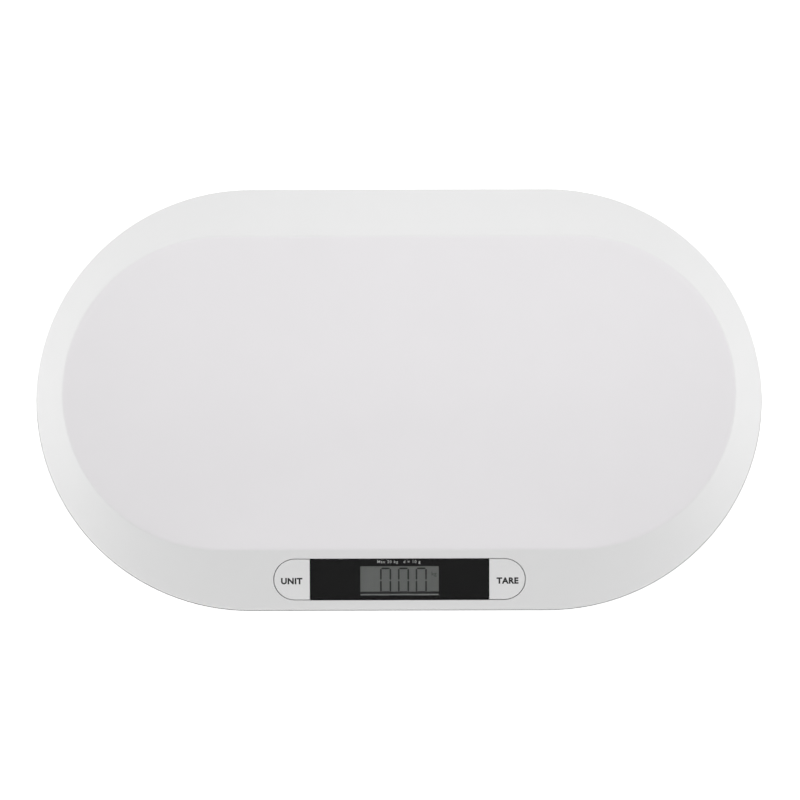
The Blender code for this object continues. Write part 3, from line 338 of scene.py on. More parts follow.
def patterned(tree, shader, broad, fine, tones, glosses, depth):
    """Lets one pattern tint a surface, and another vary its gloss and raise its grain that far."""
    ends = {"Factor": broad, 6: tones[0], 7: tones[1]}
    tint = add_node(tree, "ShaderNodeMix", ends, data_type="RGBA")
    ends = {"Value": fine, "To Min": glosses[0], "To Max": glosses[1]}
    gloss = add_node(tree, "ShaderNodeMapRange", ends)
    bump = add_node(tree, "ShaderNodeBump", {"Height": fine, "Distance": depth})
    tree.links.new(tint.outputs[2], shader.inputs["Base Color"])
    tree.links.new(gloss.outputs["Result"], shader.inputs["Roughness"])
    tree.links.new(bump.outputs["Normal"], shader.inputs["Normal"])


def moulded(name, colour, roughness, grain=GRAIN, depth=GRAIN_DEPTH, uneven=GRAIN_TONE, **values):
    """Moulded plastic or rubber: the tool's fine even grain, slightly uneven gloss, barely uneven colour."""
    made, tree, shader = new_material(name, **values)
    place = add_node(tree, "ShaderNodeTexCoord").outputs["Object"]
    fine = add_node(tree, "ShaderNodeTexNoise", {"Vector": place, "Scale": 1 / grain, "Detail": 2.0})
    broad = add_node(tree, "ShaderNodeTexNoise", {"Vector": place, "Scale": 1 / FLOW_PATCH, "Detail": 3.0})
    tones = [shaded(colour, 1 - uneven), shaded(colour, 1 + uneven)]
    glosses = (roughness - GRAIN_GLOSS, roughness + GRAIN_GLOSS)
    patterned(tree, shader, broad.outputs["Fac"], fine.outputs["Fac"], tones, glosses, depth)
    return made


def metal(name, colour, roughness):
    """Bare or plated metal: fine drawing marks that break up its reflections."""
    made, tree, shader = new_material(name, Metallic=1.0)
    place = add_node(tree, "ShaderNodeTexCoord").outputs["Object"]
    drawn = {"Vector": place, "Scale": 1 / DRAW_MARK, "Detail": 3.0}
    marks = add_node(tree, "ShaderNodeTexNoise", drawn).outputs["Fac"]
    tones = [shaded(colour, share) for share in DRAW_TONES]
    glosses = [roughness + more for more in DRAW_GLOSS]
    patterned(tree, shader, marks, marks, tones, glosses, DRAW_DEPTH)
    return made


def clear_acrylic():
    """Cast acrylic of the window: polished and clear, with a trace of waviness in what it mirrors."""
    made, tree, shader = new_material(
        "clear_acrylic", Base_Color=linear("#F4F5F5"), Roughness=0.02, IOR=1.4, Transmission_Weight=1.0
    )
    place = add_node(tree, "ShaderNodeTexCoord").outputs["Object"]
    waves = add_node(tree, "ShaderNodeTexNoise", {"Vector": place, "Scale": 1 / ACRYLIC_WAVE, "Detail": 1.0})
    bump = add_node(tree, "ShaderNodeBump", {"Height": waves.outputs["Fac"], "Distance": ACRYLIC_DEPTH})
    tree.links.new(bump.outputs["Normal"], shader.inputs["Normal"])
    return made


def printed_board():
    """Glass-fibre board: green lacquer, a little paler over its copper tracks."""
    made, tree, shader = new_material("board", Roughness=0.38)
    place = add_node(tree, "ShaderNodeTexCoord").outputs["Object"]
    rows = {"Vector": place, "Scale": 1 / TRACK_PITCH, "Mortar Size": TRACK_SHARE}
    tracks = add_node(tree, "ShaderNodeTexBrick", rows, offset=0.5)
    tones = {"Factor": tracks.outputs["Fac"], 6: linear("#1E5A35"), 7: linear("#2F7A4A")}
    tint = add_node(tree, "ShaderNodeMix", tones, data_type="RGBA")
    tree.links.new(tint.outputs[2], shader.inputs["Base Color"])
    return made


def all_finishes():
    """Every finish by its name."""
    made = {"clear_acrylic": clear_acrylic(), "board": printed_board()}
    for name, (colour, roughness, settings) in MOULDED.items():
        made[name] = moulded(name, colour, roughness, **settings)
    for name, (colour, roughness) in METALS.items():
        made[name] = metal(name, colour, roughness)
    return made


# Building pieces


def of_kind(items, kind):
    """The items of one kind in what a bmesh operator returns."""
    return [item for item in items if isinstance(item, kind)]


def skin(bm, rings, cyclic=False):
    """Draws the first closed ring of points out through the others, and caps both ends or joins them."""
    verts = [bm.verts.new(point) for point in rings[0]]
    first = edges = [bm.edges.new(pair) for pair in zip(verts, verts[1:] + verts[:1])]
    joined = list(verts)
    for ring in rings[1:] + rings[:1] * cyclic:
        drawn = bmesh.ops.extrude_edge_only(bm, edges=edges)["geom"]
        edges = of_kind(drawn, bmesh.types.BMEdge)
        new = set(of_kind(drawn, bmesh.types.BMVert))
        verts = [next(e.other_vert(v) for e in v.link_edges if e.other_vert(v) in new) for v in verts]
        for vert, point in zip(verts, ring):
            vert.co = point
    if cyclic:
        bmesh.ops.remove_doubles(bm, verts=joined + verts, dist=WELD)
    else:
        bmesh.ops.edgeloop_fill(bm, edges=first)
        bmesh.ops.edgeloop_fill(bm, edges=edges)
    return bm


def turned(bm, profile, centre=(0, 0), segments=40):
    """Spins a profile of (radius, height) points that starts and ends on the upright axis."""
    middle = Vector((*centre, 0))
    half_step = Matrix.Rotation(pi / segments, 3, "Z")
    verts = [bm.verts.new(middle + half_step @ Vector((radius, 0, z))) for radius, z in profile]
    edges = [bm.edges.new(pair) for pair in zip(verts, verts[1:])]
    bmesh.ops.spin(
        bm, geom=verts + edges, cent=middle, axis=(0, 0, 1), angle=2 * pi, steps=segments, use_merge=True
    )
    bmesh.ops.remove_doubles(bm, verts=bm.verts, dist=WELD)
    return bm


def plate(bm, loops, bottom, top):
    """A flat plate inside the first loop of (x, y) points and outside the others."""
    edges = []
    for loop in loops:
        verts = [bm.verts.new((x, y, bottom)) for x, y in loop]
        edges += [bm.edges.new((verts[i - 1], verts[i])) for i in range(len(verts))]
    filled = bmesh.ops.triangle_fill(bm, edges=edges, use_beauty=True)
    raised = bmesh.ops.extrude_face_region(bm, geom=of_kind(filled["geom"], bmesh.types.BMFace))
    verts = of_kind(raised["geom"], bmesh.types.BMVert)
    bmesh.ops.translate(bm, verts=verts, vec=(0, 0, top - bottom))
    return bm


def oblong(straight, radius, z, segments=END_SEGMENTS):
    """A ring with two half-round ends, whose centres lie that far either side of the middle."""
    points = []
    for side in (1, -1):
        for i in range(segments + 1):
            angle = pi * (i / segments - 0.5)
            points.append((side * (straight + radius * cos(angle)), side * radius * sin(angle), z))
    return points


def round_rectangle(length, width, radius, middle=(0, 0), steps=6):
    """A loop of (x, y) points with four round corners."""
    points = []
    for quarter, (side, end) in enumerate(((1, 1), (-1, 1), (-1, -1), (1, -1))):
        for i in range(steps + 1):
            angle = pi / 2 * (quarter + i / steps)
            x = middle[0] + side * (length / 2 - radius) + radius * cos(angle)
            y = middle[1] + end * (width / 2 - radius) + radius * sin(angle)
            points.append((x, y))
    return points


def at_height(loop, z):
    """A loop of (x, y) points as a ring at one height."""
    return [(x, y, z) for x, y in loop]


def between(start, end, share):
    """A point or station that share of the way from start to end."""
    return tuple(a + (b - a) * share for a, b in zip(start, end))


def rounded(start, corner, end, steps=6):
    """Stations of a rounded corner: a curve from start to end that leans into the corner."""
    shares = [i / steps for i in range(steps + 1)]
    return [between(between(start, corner, s), between(corner, end, s), s) for s in shares]


def placed(bm, matrix):
    """A bmesh moved and turned by a matrix."""
    bmesh.ops.transform(bm, matrix=matrix, verts=bm.verts)
    return bm


def scene_object(name, bm):
    """The object of a bmesh, facing outwards."""
    bmesh.ops.recalc_face_normals(bm, faces=bm.faces)
    mesh = bpy.data.meshes.new(name)
    bm.to_mesh(mesh)
    bm.free()
    made = bpy.data.objects.new(name, mesh)
    bpy.context.scene.collection.objects.link(made)
    return made


def dressed(piece, material, body="case", stands_for=()):
    """Shades a piece, gives it its material, ties it to its body, and hides the nodes that it stands for."""
    piece.data.shade_smooth()
    piece.data.set_sharp_from_angle(angle=SHARP_ANGLE)
    piece.data.materials.clear()
    piece.data.materials.append(material)
    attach(piece, body)
    if stands_for:
        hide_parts(*stands_for)
    return piece


def combined(piece, *steps):
    """Applies Boolean steps of (operation, bmesh) to a piece and removes their helpers."""
    helpers = []
    for number, (operation, bm) in enumerate(steps):
        helper = scene_object(f"{piece.name}_helper_{number}", bm)
        helpers.append(helper)
        modifier = piece.modifiers.new(helper.name, "BOOLEAN")
        modifier.operation = operation
        modifier.solver = "EXACT"
        modifier.object = helper
    bpy.context.view_layer.update()
    evaluated = piece.evaluated_get(bpy.context.evaluated_depsgraph_get())
    result = bpy.data.meshes.new_from_object(evaluated)
    bm = bmesh.new()
    bm.from_mesh(result)
    bmesh.ops.remove_doubles(bm, verts=bm.verts, dist=WELD)
    bm.to_mesh(result)
    bm.free()
    piece.modifiers.clear()
    piece.data = result
    for helper in helpers:
        bpy.data.objects.remove(helper)
    return piece


def middle_of(node):
    """The middle of a CAD node's box."""
    low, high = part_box(node)
    return (low + high) / 2


# The tray: rings from the middle of the dish over the ridge and the lip, and back underneath


def dish_station(share):
    """The ring of the dish at a share of the way from its middle to the ridge."""
    flat = DISH_FLAT / RIDGE_RADIUS
    climb = max(0.0, (share - flat) / (1 - flat))
    return (RIDGE_STRAIGHT * share, RIDGE_RADIUS * share, DISH_Z + DISH_DEPTH * climb**2)


def tray_stations():
    """(half length of the straights, end radius, height) of each ring."""
    ridge = (RIDGE_STRAIGHT, RIDGE_RADIUS, RIDGE_Z)
    edge = OUTER_RADIUS - SHADOW_RING_PROUD
    lip = (OUTER_STRAIGHT, edge, LIP_Z)
    first = DISH_FLAT / RIDGE_RADIUS
    last = 1 - RIDGE_ROUND / RIDGE_RADIUS
    dish = [dish_station(first + (last - first) * i / DISH_RINGS) for i in range(DISH_RINGS + 1)]
    rim_start = between(ridge, lip, RIDGE_ROUND / RIM_SLANT)
    rim_end = between(lip, ridge, LIP_ROUND / RIM_SLANT)
    rim = [between(rim_start, rim_end, i / RIM_RINGS) for i in range(1, RIM_RINGS)]
    lip_end = (OUTER_STRAIGHT, edge, LIP_Z - LIP_ROUND)
    inner = OUTER_RADIUS - LIP_WALL
    drop = TRAY_WALL / cos(RIM_SLOPE)
    under = [
        (OUTER_STRAIGHT, edge, SEAM_Z + SHADOW_RING_HEIGHT / 2),
        (OUTER_STRAIGHT, inner, SEAM_Z + SHADOW_RING_HEIGHT / 2),
        (OUTER_STRAIGHT, inner, LIP_Z + LIP_WALL * RIM_RISE / RIM_SIDE - drop),
        (RIDGE_STRAIGHT, RIDGE_RADIUS, RIDGE_Z - drop),
    ]
    under += [(s, r, z - TRAY_WALL) for s, r, z in reversed(dish[::UNDER_STEP])]
    return dish[:-1] + rounded(dish[-1], ridge, rim_start) + rim + rounded(rim_end, lip, lip_end) + under


def shadow_ring(material):
    """A thin dark ring in the seam, painted shadow: it shows as the line of shade between the tray and the base.
    """
    low = SEAM_Z - SHADOW_RING_HEIGHT / 2
    high = SEAM_Z + SHADOW_RING_HEIGHT / 2 - SHADOW_RING_CLEAR
    inner = OUTER_RADIUS - LIP_WALL
    edge = OUTER_RADIUS - SHADOW_RING_ROUND
    rings = [(inner, low), (edge, low), (OUTER_RADIUS, low + SHADOW_RING_ROUND)]
    rings += [(OUTER_RADIUS, high - SHADOW_RING_ROUND), (edge, high), (inner, high)]
    bm = skin(bmesh.new(), [oblong(OUTER_STRAIGHT, radius, z) for radius, z in rings], cyclic=True)
    dressed(scene_object("seam_shadow_ring", bm), material)


def panel_cutter():
    """The panel's opening, with a small chamfer where it meets the rim's face."""
    chamfer = PANEL_CHAMFER
    rings = ((3 * chamfer, 2 * chamfer), (0, -chamfer), (0, -2 * TRAY_WALL))
    outlines = [oblong(PILL_STRAIGHT, PILL_RADIUS + out, z, PILL_SEGMENTS) for out, z in rings]
    return placed(skin(bmesh.new(), outlines), PANEL)


def tray(rim_material, dish_painted_light):
    """The tray with the panel's opening; the dish's upward faces inside the ridge get their own finish, which
    carries painted light.
    """
    bm = skin(bmesh.new(), [oblong(*station) for station in tray_stations()])
    piece = combined(scene_object("tray_skin", bm), ("DIFFERENCE", panel_cutter()))
    dressed(piece, rim_material, stands_for=["tray_shell"])
    piece.data.materials.append(dish_painted_light)
    for face in piece.data.polygons:
        x, y, _ = face.center
        inside = hypot(max(abs(x) - RIDGE_STRAIGHT, 0), y) < RIDGE_RADIUS
        # painted light: the dish's upward faces inside the ridge take the lighter, lavender-tinted copy of the
        # white ABS
        if inside and face.normal.z > 0:
            face.material_index = 1


# The display panel


def lens(material, mask_material):
    """The clear pane with painted sides, and the black film behind it with a window for the display."""
    rings = []
    for inset, z in ((0, LENS_BACK), (0, LENS_FACE - LENS_BEVEL), (LENS_BEVEL, LENS_FACE)):
        outline = round_rectangle(LENS_LENGTH - 2 * inset, LENS_HEIGHT - 2 * inset, LENS_CORNER)
        rings.append(at_height(outline, z))
    pane = scene_object("lens_pane", placed(skin(bmesh.new(), rings), PANEL))
    dressed(pane, material, stands_for=["display_lens"])
    pane.data.materials.append(mask_material)
    out = PANEL.col[2].xyz
    for face in pane.data.polygons:
        if abs(face.normal.dot(out)) < 0.5:  # a side
            face.material_index = 1
    outline = round_rectangle(LENS_LENGTH, LENS_HEIGHT, LENS_CORNER)
    window = round_rectangle(*WINDOW, WINDOW_CORNER, (0, WINDOW_MIDDLE))
    film = plate(bmesh.new(), [outline, window], *FILM)
    mask = scene_object("lens_mask", placed(film, PANEL))
    dressed(mask, mask_material)


def segment(start, end):
    """A segment of a digit: a bar with pointed ends, upright or level."""
    a, b = Vector(start), Vector(end)
    along = (b - a).normalized() * SEGMENT_HALF
    side = Vector((-along.y, along.x))
    return [a, a + along + side, b - along + side, b, b - along - side, a + along - side]


def strip(low, high):
    """A level strip across the window."""
    return round_rectangle(WINDOW[0] + WINDOW_LAP, high - low, STRIP_CORNER, (0, (low + high) / 2))


def digits(ink):
    """Three zeros in thin segments, which stand on a dark line."""
    bm = bmesh.new()
    low, high = DIGIT_ENDS
    middle = (low + high) / 2
    gap = SEGMENT_GAP
    top, line_bottom, line_top = (LCD_PRINT + level * MM for level in (0.02, 0.025, 0.04))
    for x in DIGIT_PLACES:
        left, right = x - DIGIT_WIDTH / 2, x + DIGIT_WIDTH / 2
        ends = [((left + gap, y), (right - gap, y)) for y in (low, high)]
        for u in (left, right):
            ends += [((u, low + gap), (u, middle - gap)), ((u, middle + gap), (u, high - gap))]
        for start, end in ends:
            plate(bm, [segment(start, end)], LCD_PRINT, top)
    plate(bm, [strip(*LCD_LINE)], line_bottom, line_top)
    dressed(scene_object("lcd_digits", placed(bm, PANEL)), ink)


def pale_band(material):
    """A paler band across the bottom of the display's window, just under the dark line."""
    outline = strip(LCD_LINE[0] - LCD_STRIP, LCD_LINE[0])
    bm = plate(bmesh.new(), [outline], LCD_PRINT, LCD_PRINT + 0.04 * MM)
    dressed(scene_object("lcd_pale_band", placed(bm, PANEL)), material)


def words(name, text, height, place, material, slot, body="case", bold=0.0, spacing=1.0):
    """Flat printed lettering on the panel, whose capitals have this height, at (x, y, bottom of the ink)."""
    curve = bpy.data.curves.new(name, "FONT")
    curve.body = text
    curve.align_x = "CENTER"
    curve.align_y = "CENTER"
    curve.size = height / CAPITAL
    curve.offset = bold
    curve.space_character = spacing
    curve.extrude = PRINT_HALF
    curve.resolution_u = 4
    helper = bpy.data.objects.new(name + "_helper", curve)
    bpy.context.scene.collection.objects.link(helper)
    bpy.context.view_layer.update()
    mesh = bpy.data.meshes.new_from_object(helper.evaluated_get(bpy.context.evaluated_depsgraph_get()))
    bpy.data.objects.remove(helper)
    x, y, bottom = place
    mesh.transform(PANEL @ Matrix.Translation((x, y, bottom + PRINT_HALF)))
    piece = bpy.data.objects.new(name, mesh)
    bpy.context.scene.collection.objects.link(piece)
    dressed(piece, material, body)


def key_mark(name, side, ink):
    """The word on a key."""
    place = (side * KEY_MIDDLE, -1.4 * MM, 0.01 * MM)
    look = (ink, "black_abs", name + "_key")
    words(name + "_mark", name.upper(), 4.5 * MM, place, *look, bold=0.28 * MM, spacing=1.08)


def display_marks(pale_ink, faint_ink):
    """The capacity line on the film and the sign of the unit on the display."""
    place = (-0.6 * MM, 13.3 * MM, FILM[1] + 2 * PRINT_HALF)
    look = (pale_ink, "white_abs")
    words("capacity_mark", "Max 20 kg   d = 10 g", 2.2 * MM, place, *look, bold=0.05 * MM, spacing=1.2)
    place = (26 * MM, 3.6 * MM, LCD_PRINT)
    words("kilogram_sign", "kg", 3.1 * MM, place, faint_ink, "black_abs")


def key_ring(radius, inner, z, side, share=1.0):
    """Outline of a key about its middle: half round at the panel's end, straight beside the lens."""
    arc = [pi * (i / PILL_SEGMENTS - 0.5) for i in range(PILL_SEGMENTS + 1)]
    points = [(inner, -radius)]
    points += [(PILL_STRAIGHT + radius * cos(a), radius * sin(a)) for a in arc]
    points.append((inner, radius))
    return [(side * (KEY_MIDDLE + (x - KEY_MIDDLE) * share), y * share, z) for x, y in points]


def key(name, side, material):
    """A key cap with a softly rounded edge, its flange behind the rim and its stem."""
    face = PILL_RADIUS - KEY_SHADOW
    lap = PILL_RADIUS + KEY_LAP
    back = KEY_BACK - KEY_FLANGE
    stem, stem_height = KEY_STEM
    rings = []
    for inset, z in rounded((KEY_ROUND, 0), (0, 0), (0, -KEY_ROUND), steps=4):
        rings.append(key_ring(face - inset, KEY_INNER + inset, z, side))
    rings.append(key_ring(face, KEY_INNER, KEY_BACK, side))
    rings.append(key_ring(lap, KEY_INNER, KEY_BACK, side))
    rings.append(key_ring(lap, KEY_INNER, back, side))
    rings.append(key_ring(lap, KEY_INNER, back, side, stem))
    rings.append(key_ring(lap, KEY_INNER, back - stem_height, side, stem))
    cap = scene_object(name + "_key_cap", placed(skin(bmesh.new(), rings), PANEL))
    dressed(cap, material, name + "_key", [name + "_button"])


# The underside


def hull_stations(wall):
    """The base's side from its flat underside up to the seam, or that wall further in."""
    stations = []
    for i in range(HULL_RINGS + 1):
        angle = pi / 2 * i / HULL_RINGS
        radius = FLOOR_RADIUS + (HULL_TUCK - SEAM_STEP - wall) * sin(angle)
        height = STANDOFF + (BASE_TOP - STANDOFF) * (1 - cos(angle)) + wall * cos(angle)
        stations.append((OUTER_STRAIGHT, radius, height))
    return stations


def base_stations():
    """The hull, the tongue that stands up inside the lip, and the hull's inside."""
    tongue = OUTER_RADIUS - TONGUE_INSET
    rim = [
        (OUTER_STRAIGHT, tongue, BASE_TOP),
        (OUTER_STRAIGHT, tongue, BASE_TOP + TONGUE_HEIGHT),
        (OUTER_STRAIGHT, tongue - TONGUE_WALL, BASE_TOP + TONGUE_HEIGHT),
    ]
    return hull_stations(0) + rim + hull_stations(BASE_WALL)[-2::-1]


def square(side, z, middle):
    """A square ring with cut corners."""
    return at_height(round_rectangle(side, side, SEAT_CORNER, middle, steps=1), z)


def stepped(bm, steps):
    """Upright sides through rounded rectangles of (length, width, corner, height) about the battery box."""
    rings = [at_height(round_rectangle(a, b, corner, (0, BOX_BACK)), z) for a, b, corner, z in steps]
    return skin(bm, rings)


def base_additions():
    """Seats of the load cells, posts of the case screws and the battery box."""
    bm = bmesh.new()
    root = STANDOFF + BASE_WALL / 2
    for corner in FEET:
        middle = middle_of("foot_" + corner).xy
        out, inside = SEAT_RING
        steps = ((inside, root), (out, root), (out, SEAT_TOP), (inside, SEAT_TOP))
        skin(bm, [square(side, z, middle) for side, z in steps], cyclic=True)
    for name in SCREWS:
        profile = [(0, root), (POST_RADIUS, root), (POST_RADIUS, POST_TOP), (0, POST_TOP)]
        turned(bm, profile, middle_of(name).xy)
    grow = 2 * (DOOR_GAP + LEDGE_WALL)
    ledge = RECESS_TOP + LEDGE_WALL
    wide = (RECESS[0] + grow, RECESS[1] + grow, LEDGE_CORNER)
    narrow = (BOX[0] + 2 * BOX_WALL, BOX[1] + 2 * BOX_WALL, LEDGE_CORNER)
    return stepped(bm, [(*wide, root), (*wide, ledge), (*narrow, ledge), (*narrow, BOX_ROOF + BOX_WALL)])


def base_cuts():
    """Holes of the feet and screws, and the battery box with the recess of its door."""
    bm = bmesh.new()
    below = STANDOFF - BASE_WALL
    for corner in FEET:
        top = FLOOR_Z + BASE_WALL / 2
        hole = [(0, below), (STEM_HOLE, below), (STEM_HOLE, top), (0, top)]
        turned(bm, hole, middle_of("foot_" + corner).xy)
    for name in SCREWS:
        top = POST_TOP + BASE_WALL
        flared = WELL_RADIUS + WELL_FLARE
        mouth = [(0, below), (flared, below), (flared, STANDOFF)]
        well = [(WELL_RADIUS, STANDOFF + WELL_FLARE), (WELL_RADIUS, WELL_TOP)]
        hole = [(SCREW_HOLE, WELL_TOP), (SCREW_HOLE, top), (0, top)]
        turned(bm, mouth + well + hole, middle_of(name).xy)
    wide = (*RECESS, RECESS_CORNER)
    narrow = (*BOX, BOX_CORNER)
    return stepped(bm, [(*wide, below), (*wide, RECESS_TOP), (*narrow, RECESS_TOP), (*narrow, BOX_ROOF)])


def door_slots():
    """Slots over the base's floor for the door's tabs, and the fingertip notch at the far edge."""
    bm = bmesh.new()
    front = BOX_BACK - RECESS[1] / 2
    far = front - TAB_REACH - DOOR_GAP
    near = front + SLOT[0]
    top = FLOOR_Z + SLOT[1]
    step = STANDOFF + DOOR_WALL / 2
    outline = [(far, FLOOR_Z), (front, FLOOR_Z), (front, step), (near, step), (near, top), (far, top)]
    half = TAB_HALF + DOOR_GAP
    for x in TAB_PLACES:
        skin(bm, [[(x + half * end, y, z) for y, z in outline] for end in (-1, 1)])
    back = BOX_BACK + RECESS[1] / 2
    notch = round_rectangle(NOTCH[0], 2 * NOTCH[1], NOTCH_CORNER, (0, back - DOOR_GAP))
    return plate(bm, [notch], STANDOFF - BASE_WALL, STANDOFF + BASE_WALL / 2)


def base(material):
    """The base shell with its seats, posts, holes and battery box."""
    bm = skin(bmesh.new(), [oblong(*station) for station in base_stations()])
    steps = (("UNION", base_additions()), ("DIFFERENCE", base_cuts()), ("DIFFERENCE", door_slots()))
    piece = combined(scene_object("base_skin", bm), *steps)
    dressed(piece, material, stands_for=["base_shell"])


def door(material):
    """The battery door: a plate with soft lower edges, two tabs, grip bars and an arrow towards the tabs."""
    hinge = BOX_BACK - RECESS[1] / 2 + DOOR_GAP
    length, width = (size - 2 * DOOR_GAP for size in RECESS)
    middle = (0, hinge + width / 2)
    rings = []
    for inset, z in ((DOOR_BEVEL, 0), (0, DOOR_BEVEL), (0, DOOR_WALL)):
        outline = round_rectangle(length - 2 * inset, width - 2 * inset, DOOR_CORNER, middle)
        rings.append(at_height(outline, STANDOFF + z))
    piece = scene_object("door_plate", skin(bmesh.new(), rings))
    tabs = bmesh.new()
    low, root = FLOOR_Z + SEAT_GAP, STANDOFF + DOOR_WALL / 2
    high = low + TAB_WALL
    outline = [(TAB_ROOT, root), (TAB_ROOT, high), (-TAB_REACH, high), (-TAB_REACH, low)]
    outline += [(DOOR_GAP / 2, low), (DOOR_GAP / 2, root)]
    for x in TAB_PLACES:
        skin(tabs, [[(x + TAB_HALF * end, hinge + y, z) for y, z in outline] for end in (-1, 1)])
    grip = bmesh.new()
    raised, sunk = STANDOFF - GRIP_PROUD, STANDOFF + GRIP_ROOT
    for i in range(GRIP_BARS):
        bar_middle = (0, hinge + width - GRIP_START - i * GRIP_PITCH)
        plate(grip, [round_rectangle(*GRIP_BAR, bar_middle)], raised, sunk)
    back, half, reach = ARROW
    arrow = [(-half, hinge + back), (half, hinge + back), (0, hinge + back - reach)]
    plate(grip, [arrow], raised, sunk)
    combined(piece, ("UNION", tabs), ("UNION", grip))
    dressed(piece, material, "battery_hatch", ["battery_door"])


def foot(corner, cover, rubber):
    """A foot with its stem, and its ringed pad."""
    middle = middle_of("foot_" + corner).xy
    low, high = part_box("foot_" + corner)
    seat = PAD_HEIGHT + SEAT_GAP
    inner = PAD_RADIUS + SEAT_GAP
    shoulder = FOOT_RADIUS - FOOT_ROUND
    lower = (FOOT_RADIUS, low.z)
    upper = (FOOT_RADIUS, FOOT_TOP)
    profile = [(0, seat), (inner, seat), (inner, low.z)]
    profile += rounded((shoulder, low.z), lower, (FOOT_RADIUS, low.z + FOOT_ROUND), steps=4)
    profile += rounded((FOOT_RADIUS, FOOT_TOP - FOOT_ROUND), upper, (shoulder, FOOT_TOP), steps=4)
    profile += [(STEM_RADIUS, FOOT_TOP), (STEM_RADIUS, SNAP_Z), (STEM_RADIUS + SNAP[0], SNAP_Z)]
    profile += [(STEM_RADIUS, SNAP_Z + SNAP[1]), (STEM_RADIUS, high.z), (0, high.z)]
    piece = scene_object(f"foot_cover_{corner}", turned(bmesh.new(), profile, middle, FOOT_SEGMENTS))
    dressed(piece, cover, stands_for=[f"foot_{corner}"])
    pad = [(0, 0)]
    for radius in PAD_GROOVES:
        pad += [(radius, 0), (radius + PAD_GROOVE / 2, PAD_GROOVE), (radius + 1.5 * PAD_GROOVE, PAD_GROOVE)]
        pad.append((radius + 2 * PAD_GROOVE, 0))
    pad += rounded((PAD_RADIUS - PAD_ROUND, 0), (PAD_RADIUS, 0), (PAD_RADIUS, PAD_ROUND), steps=4)
    pad += [(PAD_RADIUS, PAD_HEIGHT), (0, PAD_HEIGHT)]
    piece = scene_object(f"rubber_pad_{corner}", turned(bmesh.new(), pad, middle, FOOT_SEGMENTS))
    dressed(piece, rubber, stands_for=[f"foot_pad_{corner}"])


def screw(name, material):
    """A pan-head screw with a cross recess, head down in its well."""
    low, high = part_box(name)
    middle = middle_of(name).xy
    head, shank, head_height, head_round = 3 * MM, 1.5 * MM, 2 * MM, 0.9 * MM
    slot_half, slot_width, slot_depth, slot_start = 1.8 * MM, 0.45 * MM, 1.3 * MM, 0.2 * MM
    seat = low.z + head_height
    profile = [(0, low.z)]
    profile += rounded((head - head_round, low.z), (head, low.z), (head, low.z + head_round), steps=4)
    profile += [(head, seat), (shank, seat), (shank, high.z - shank), (0, high.z)]
    piece = scene_object(name + "_cross", turned(bmesh.new(), profile, middle, segments=32))
    slots = []
    for a, b in ((slot_half, slot_width), (slot_width, slot_half)):
        tapered = [(0.5 * a, 0.5 * b, low.z + slot_depth), (a, b, low.z - slot_start)]
        rings = [[(middle.x + x * u, middle.y + y * v, z) for u, v in RECTANGLE] for x, y, z in tapered]
        slots.append(("DIFFERENCE", skin(bmesh.new(), rings)))
    combined(piece, *slots)
    dressed(piece, material, stands_for=[name])


def battery(number, sleeve, band, plated):
    """A cell: plated ends and nub, and a printed sleeve with a band round its positive end."""
    name = f"battery_{number}"
    low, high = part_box(name)
    radius = (high.y - low.y) / 2
    length = high.x - low.x
    nub, edge, body = 1.9 * MM, 0.5 * MM, length - 0.9 * MM
    cuff, band_start = 0.8 * MM, body - 13 * MM
    profile = [(0, 0), (radius - edge, 0), (radius, edge), (radius, cuff), (radius, band_start)]
    profile += [(radius, body - cuff), (radius, body - edge), (radius - edge, body)]
    profile.append((nub, body))
    profile += rounded((nub, length - edge), (nub, length), (nub - edge, length), steps=3)
    profile.append((0, length))
    way = -1 if number % 2 else 1
    tail = Vector((low.x if way > 0 else high.x, middle_of(name).y, middle_of(name).z))
    lying = Matrix.Translation(tail) @ Matrix.Rotation(way * pi / 2, 4, "Y")
    piece = scene_object(name + "_sleeved", placed(turned(bmesh.new(), profile, segments=36), lying))
    dressed(piece, sleeve, stands_for=[name])
    piece.data.materials.append(band)
    piece.data.materials.append(plated)
    for face in piece.data.polygons:
        along = abs(face.center.x - tail.x)
        if along < cuff or along > body - cuff:
            face.material_index = 2
        elif along > band_start:
            face.material_index = 1


def spring(number, material, turns=4, steps=24, sides=8):
    """A contact spring as one round wire, closer wound at its ends."""
    name = f"battery_spring_{number}"
    low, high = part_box(name)
    wire = 0.35 * MM
    middle = middle_of(name)
    coil = (high.y - low.y) / 2 - wire
    length = high.x - low.x - 2 * wire
    rings = []
    for i in range(steps * turns + 1):
        share = i / (steps * turns)
        angle = 2 * pi * turns * share
        along = share - sin(2 * pi * share) / (4 * pi)
        spoke = Vector((0, cos(angle), sin(angle)))
        point = Vector((low.x + wire + length * along, middle.y, middle.z)) + spoke * coil
        ring = []
        for j in range(sides):
            turn = 2 * pi * j / sides
            ring.append(point + (spoke * cos(turn) + Vector((1, 0, 0)) * sin(turn)) * wire)
        rings.append(ring)
    piece = scene_object(f"wound_spring_{number}", skin(bmesh.new(), rings))
    dressed(piece, material, stands_for=[name])


def refinish(material, *starts):
    """Gives the CAD nodes whose names start so a better material."""
    for name, node in NODES.items():
        if name.startswith(starts):
            node.data.materials.clear()
            node.data.materials.append(material)


# Light, floor and camera


def studio():
    """Soft lamps over the scale, at its sides and under the see-through floor, in a dim even surround."""
    world = bpy.data.worlds.new("studio")
    bpy.context.scene.world = world
    world.use_nodes = True
    surround = world.node_tree.nodes["Background"]
    surround.inputs["Color"].default_value = (1, 1, 1, 1)
    surround.inputs["Strength"].default_value = WORLD_STRENGTH
    for name, place, aim, size, watts in LAMPS:
        lamp = bpy.data.lights.new(name, "AREA")
        lamp.shape = "RECTANGLE"
        lamp.size, lamp.size_y = size
        lamp.energy = watts
        holder = bpy.data.objects.new(name, lamp)
        holder.location = place
        holder.rotation_euler = (Vector(aim) - Vector(place)).to_track_quat("-Z", "Y").to_euler()
        bpy.context.scene.collection.objects.link(holder)


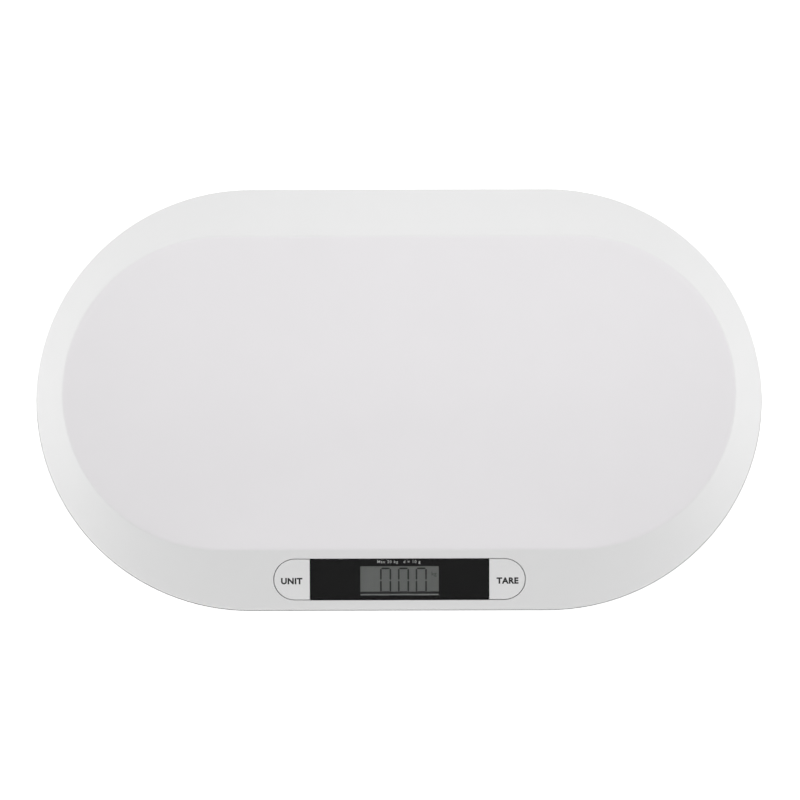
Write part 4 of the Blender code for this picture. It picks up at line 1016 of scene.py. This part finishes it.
def floor():
    """A white sheet, plain white to the eye and in reflections, that is see-through from below."""
    bm = bmesh.new()
    bmesh.ops.create_grid(bm, x_segments=1, y_segments=1, size=FLOOR_HALF)
    ground = scene_object("floor", bm)
    material, tree, shader = new_material(
        "floor", Base_Color=linear(FLOOR_COLOUR), Roughness=0.9, Emission_Color=(1, 1, 1, 1)
    )
    path = add_node(tree, "ShaderNodeLightPath")
    seen = path.outputs["Is Camera Ray"]
    for kind in ("Is Glossy Ray", "Is Transmission Ray"):
        either = add_node(tree, "ShaderNodeMath", {0: seen, 1: path.outputs[kind]}, operation="MAXIMUM")
        seen = either.outputs[0]
    glow = add_node(tree, "ShaderNodeMath", {0: seen, 1: FLOOR_GLOW}, operation="MULTIPLY").outputs[0]
    tree.links.new(glow, shader.inputs["Emission Strength"])
    back = add_node(tree, "ShaderNodeNewGeometry").outputs["Backfacing"]
    clear = add_node(tree, "ShaderNodeBsdfTransparent").outputs["BSDF"]
    sheet = add_node(tree, "ShaderNodeMixShader", {"Fac": back, 1: shader.outputs["BSDF"], 2: clear})
    tree.links.new(sheet.outputs["Shader"], tree.nodes["Material Output"].inputs["Surface"])
    ground.data.materials.append(material)
    ground.visible_shadow = False


def camera():
    """A long lens at the photograph's angle, as far away as gives the case its length in the image."""
    data = bpy.data.cameras.new("camera")
    data.lens = CAMERA_LENS
    data.sensor_width = CAMERA_SENSOR
    length = TRAY_HIGH.x - TRAY_LOW.x
    distance = length * IMAGE_PX / CASE_PX * CAMERA_LENS / CAMERA_SENSOR
    data.clip_end = 2 * distance
    obj = bpy.data.objects.new("camera", data)
    bpy.context.scene.collection.objects.link(obj)
    turn = Matrix.Rotation(pi / 2 - CAMERA_ELEVATION, 4, "X") @ Matrix.Rotation(CAMERA_ROLL, 4, "Z")
    obj.matrix_world = Matrix.Translation(AIM) @ turn @ Matrix.Translation((0, 0, distance))
    bpy.context.scene.camera = obj


def main():
    """Camera, case, underside, display and keys, then the nodes that stay, light and floor."""
    bpy.context.scene.view_settings.view_transform = "Standard"
    camera()
    finish = all_finishes()
    tray(finish["white_abs"], finish["dish_abs_painted_light"])
    shadow_ring(finish["painted_seam_shadow"])
    base(finish["base_abs"])
    door(finish["base_abs"])
    for corner in FEET:
        foot(corner, finish["grey_nylon"], finish["rubber"])
    for name in SCREWS:
        screw(name, finish["steel"])
    for number in (1, 2, 3):
        battery(number, finish["battery_sleeve"], finish["battery_band"], finish["nickel"])
        spring(number, finish["nickel"])
    lens(finish["clear_acrylic"], finish["black_print"])
    digits(finish["dark_print"])
    pale_band(finish["lcd_pale_band"])
    for side, name in ((-1, "unit"), (1, "tare")):
        key(name, side, finish["key_abs"])
        key_mark(name, side, finish["dark_print"])
    display_marks(finish["pale_print"], finish["faint_print"])
    for name, *starts in SHOWN_NODES:
        refinish(finish[name], *starts)
    studio()
    floor()


main()
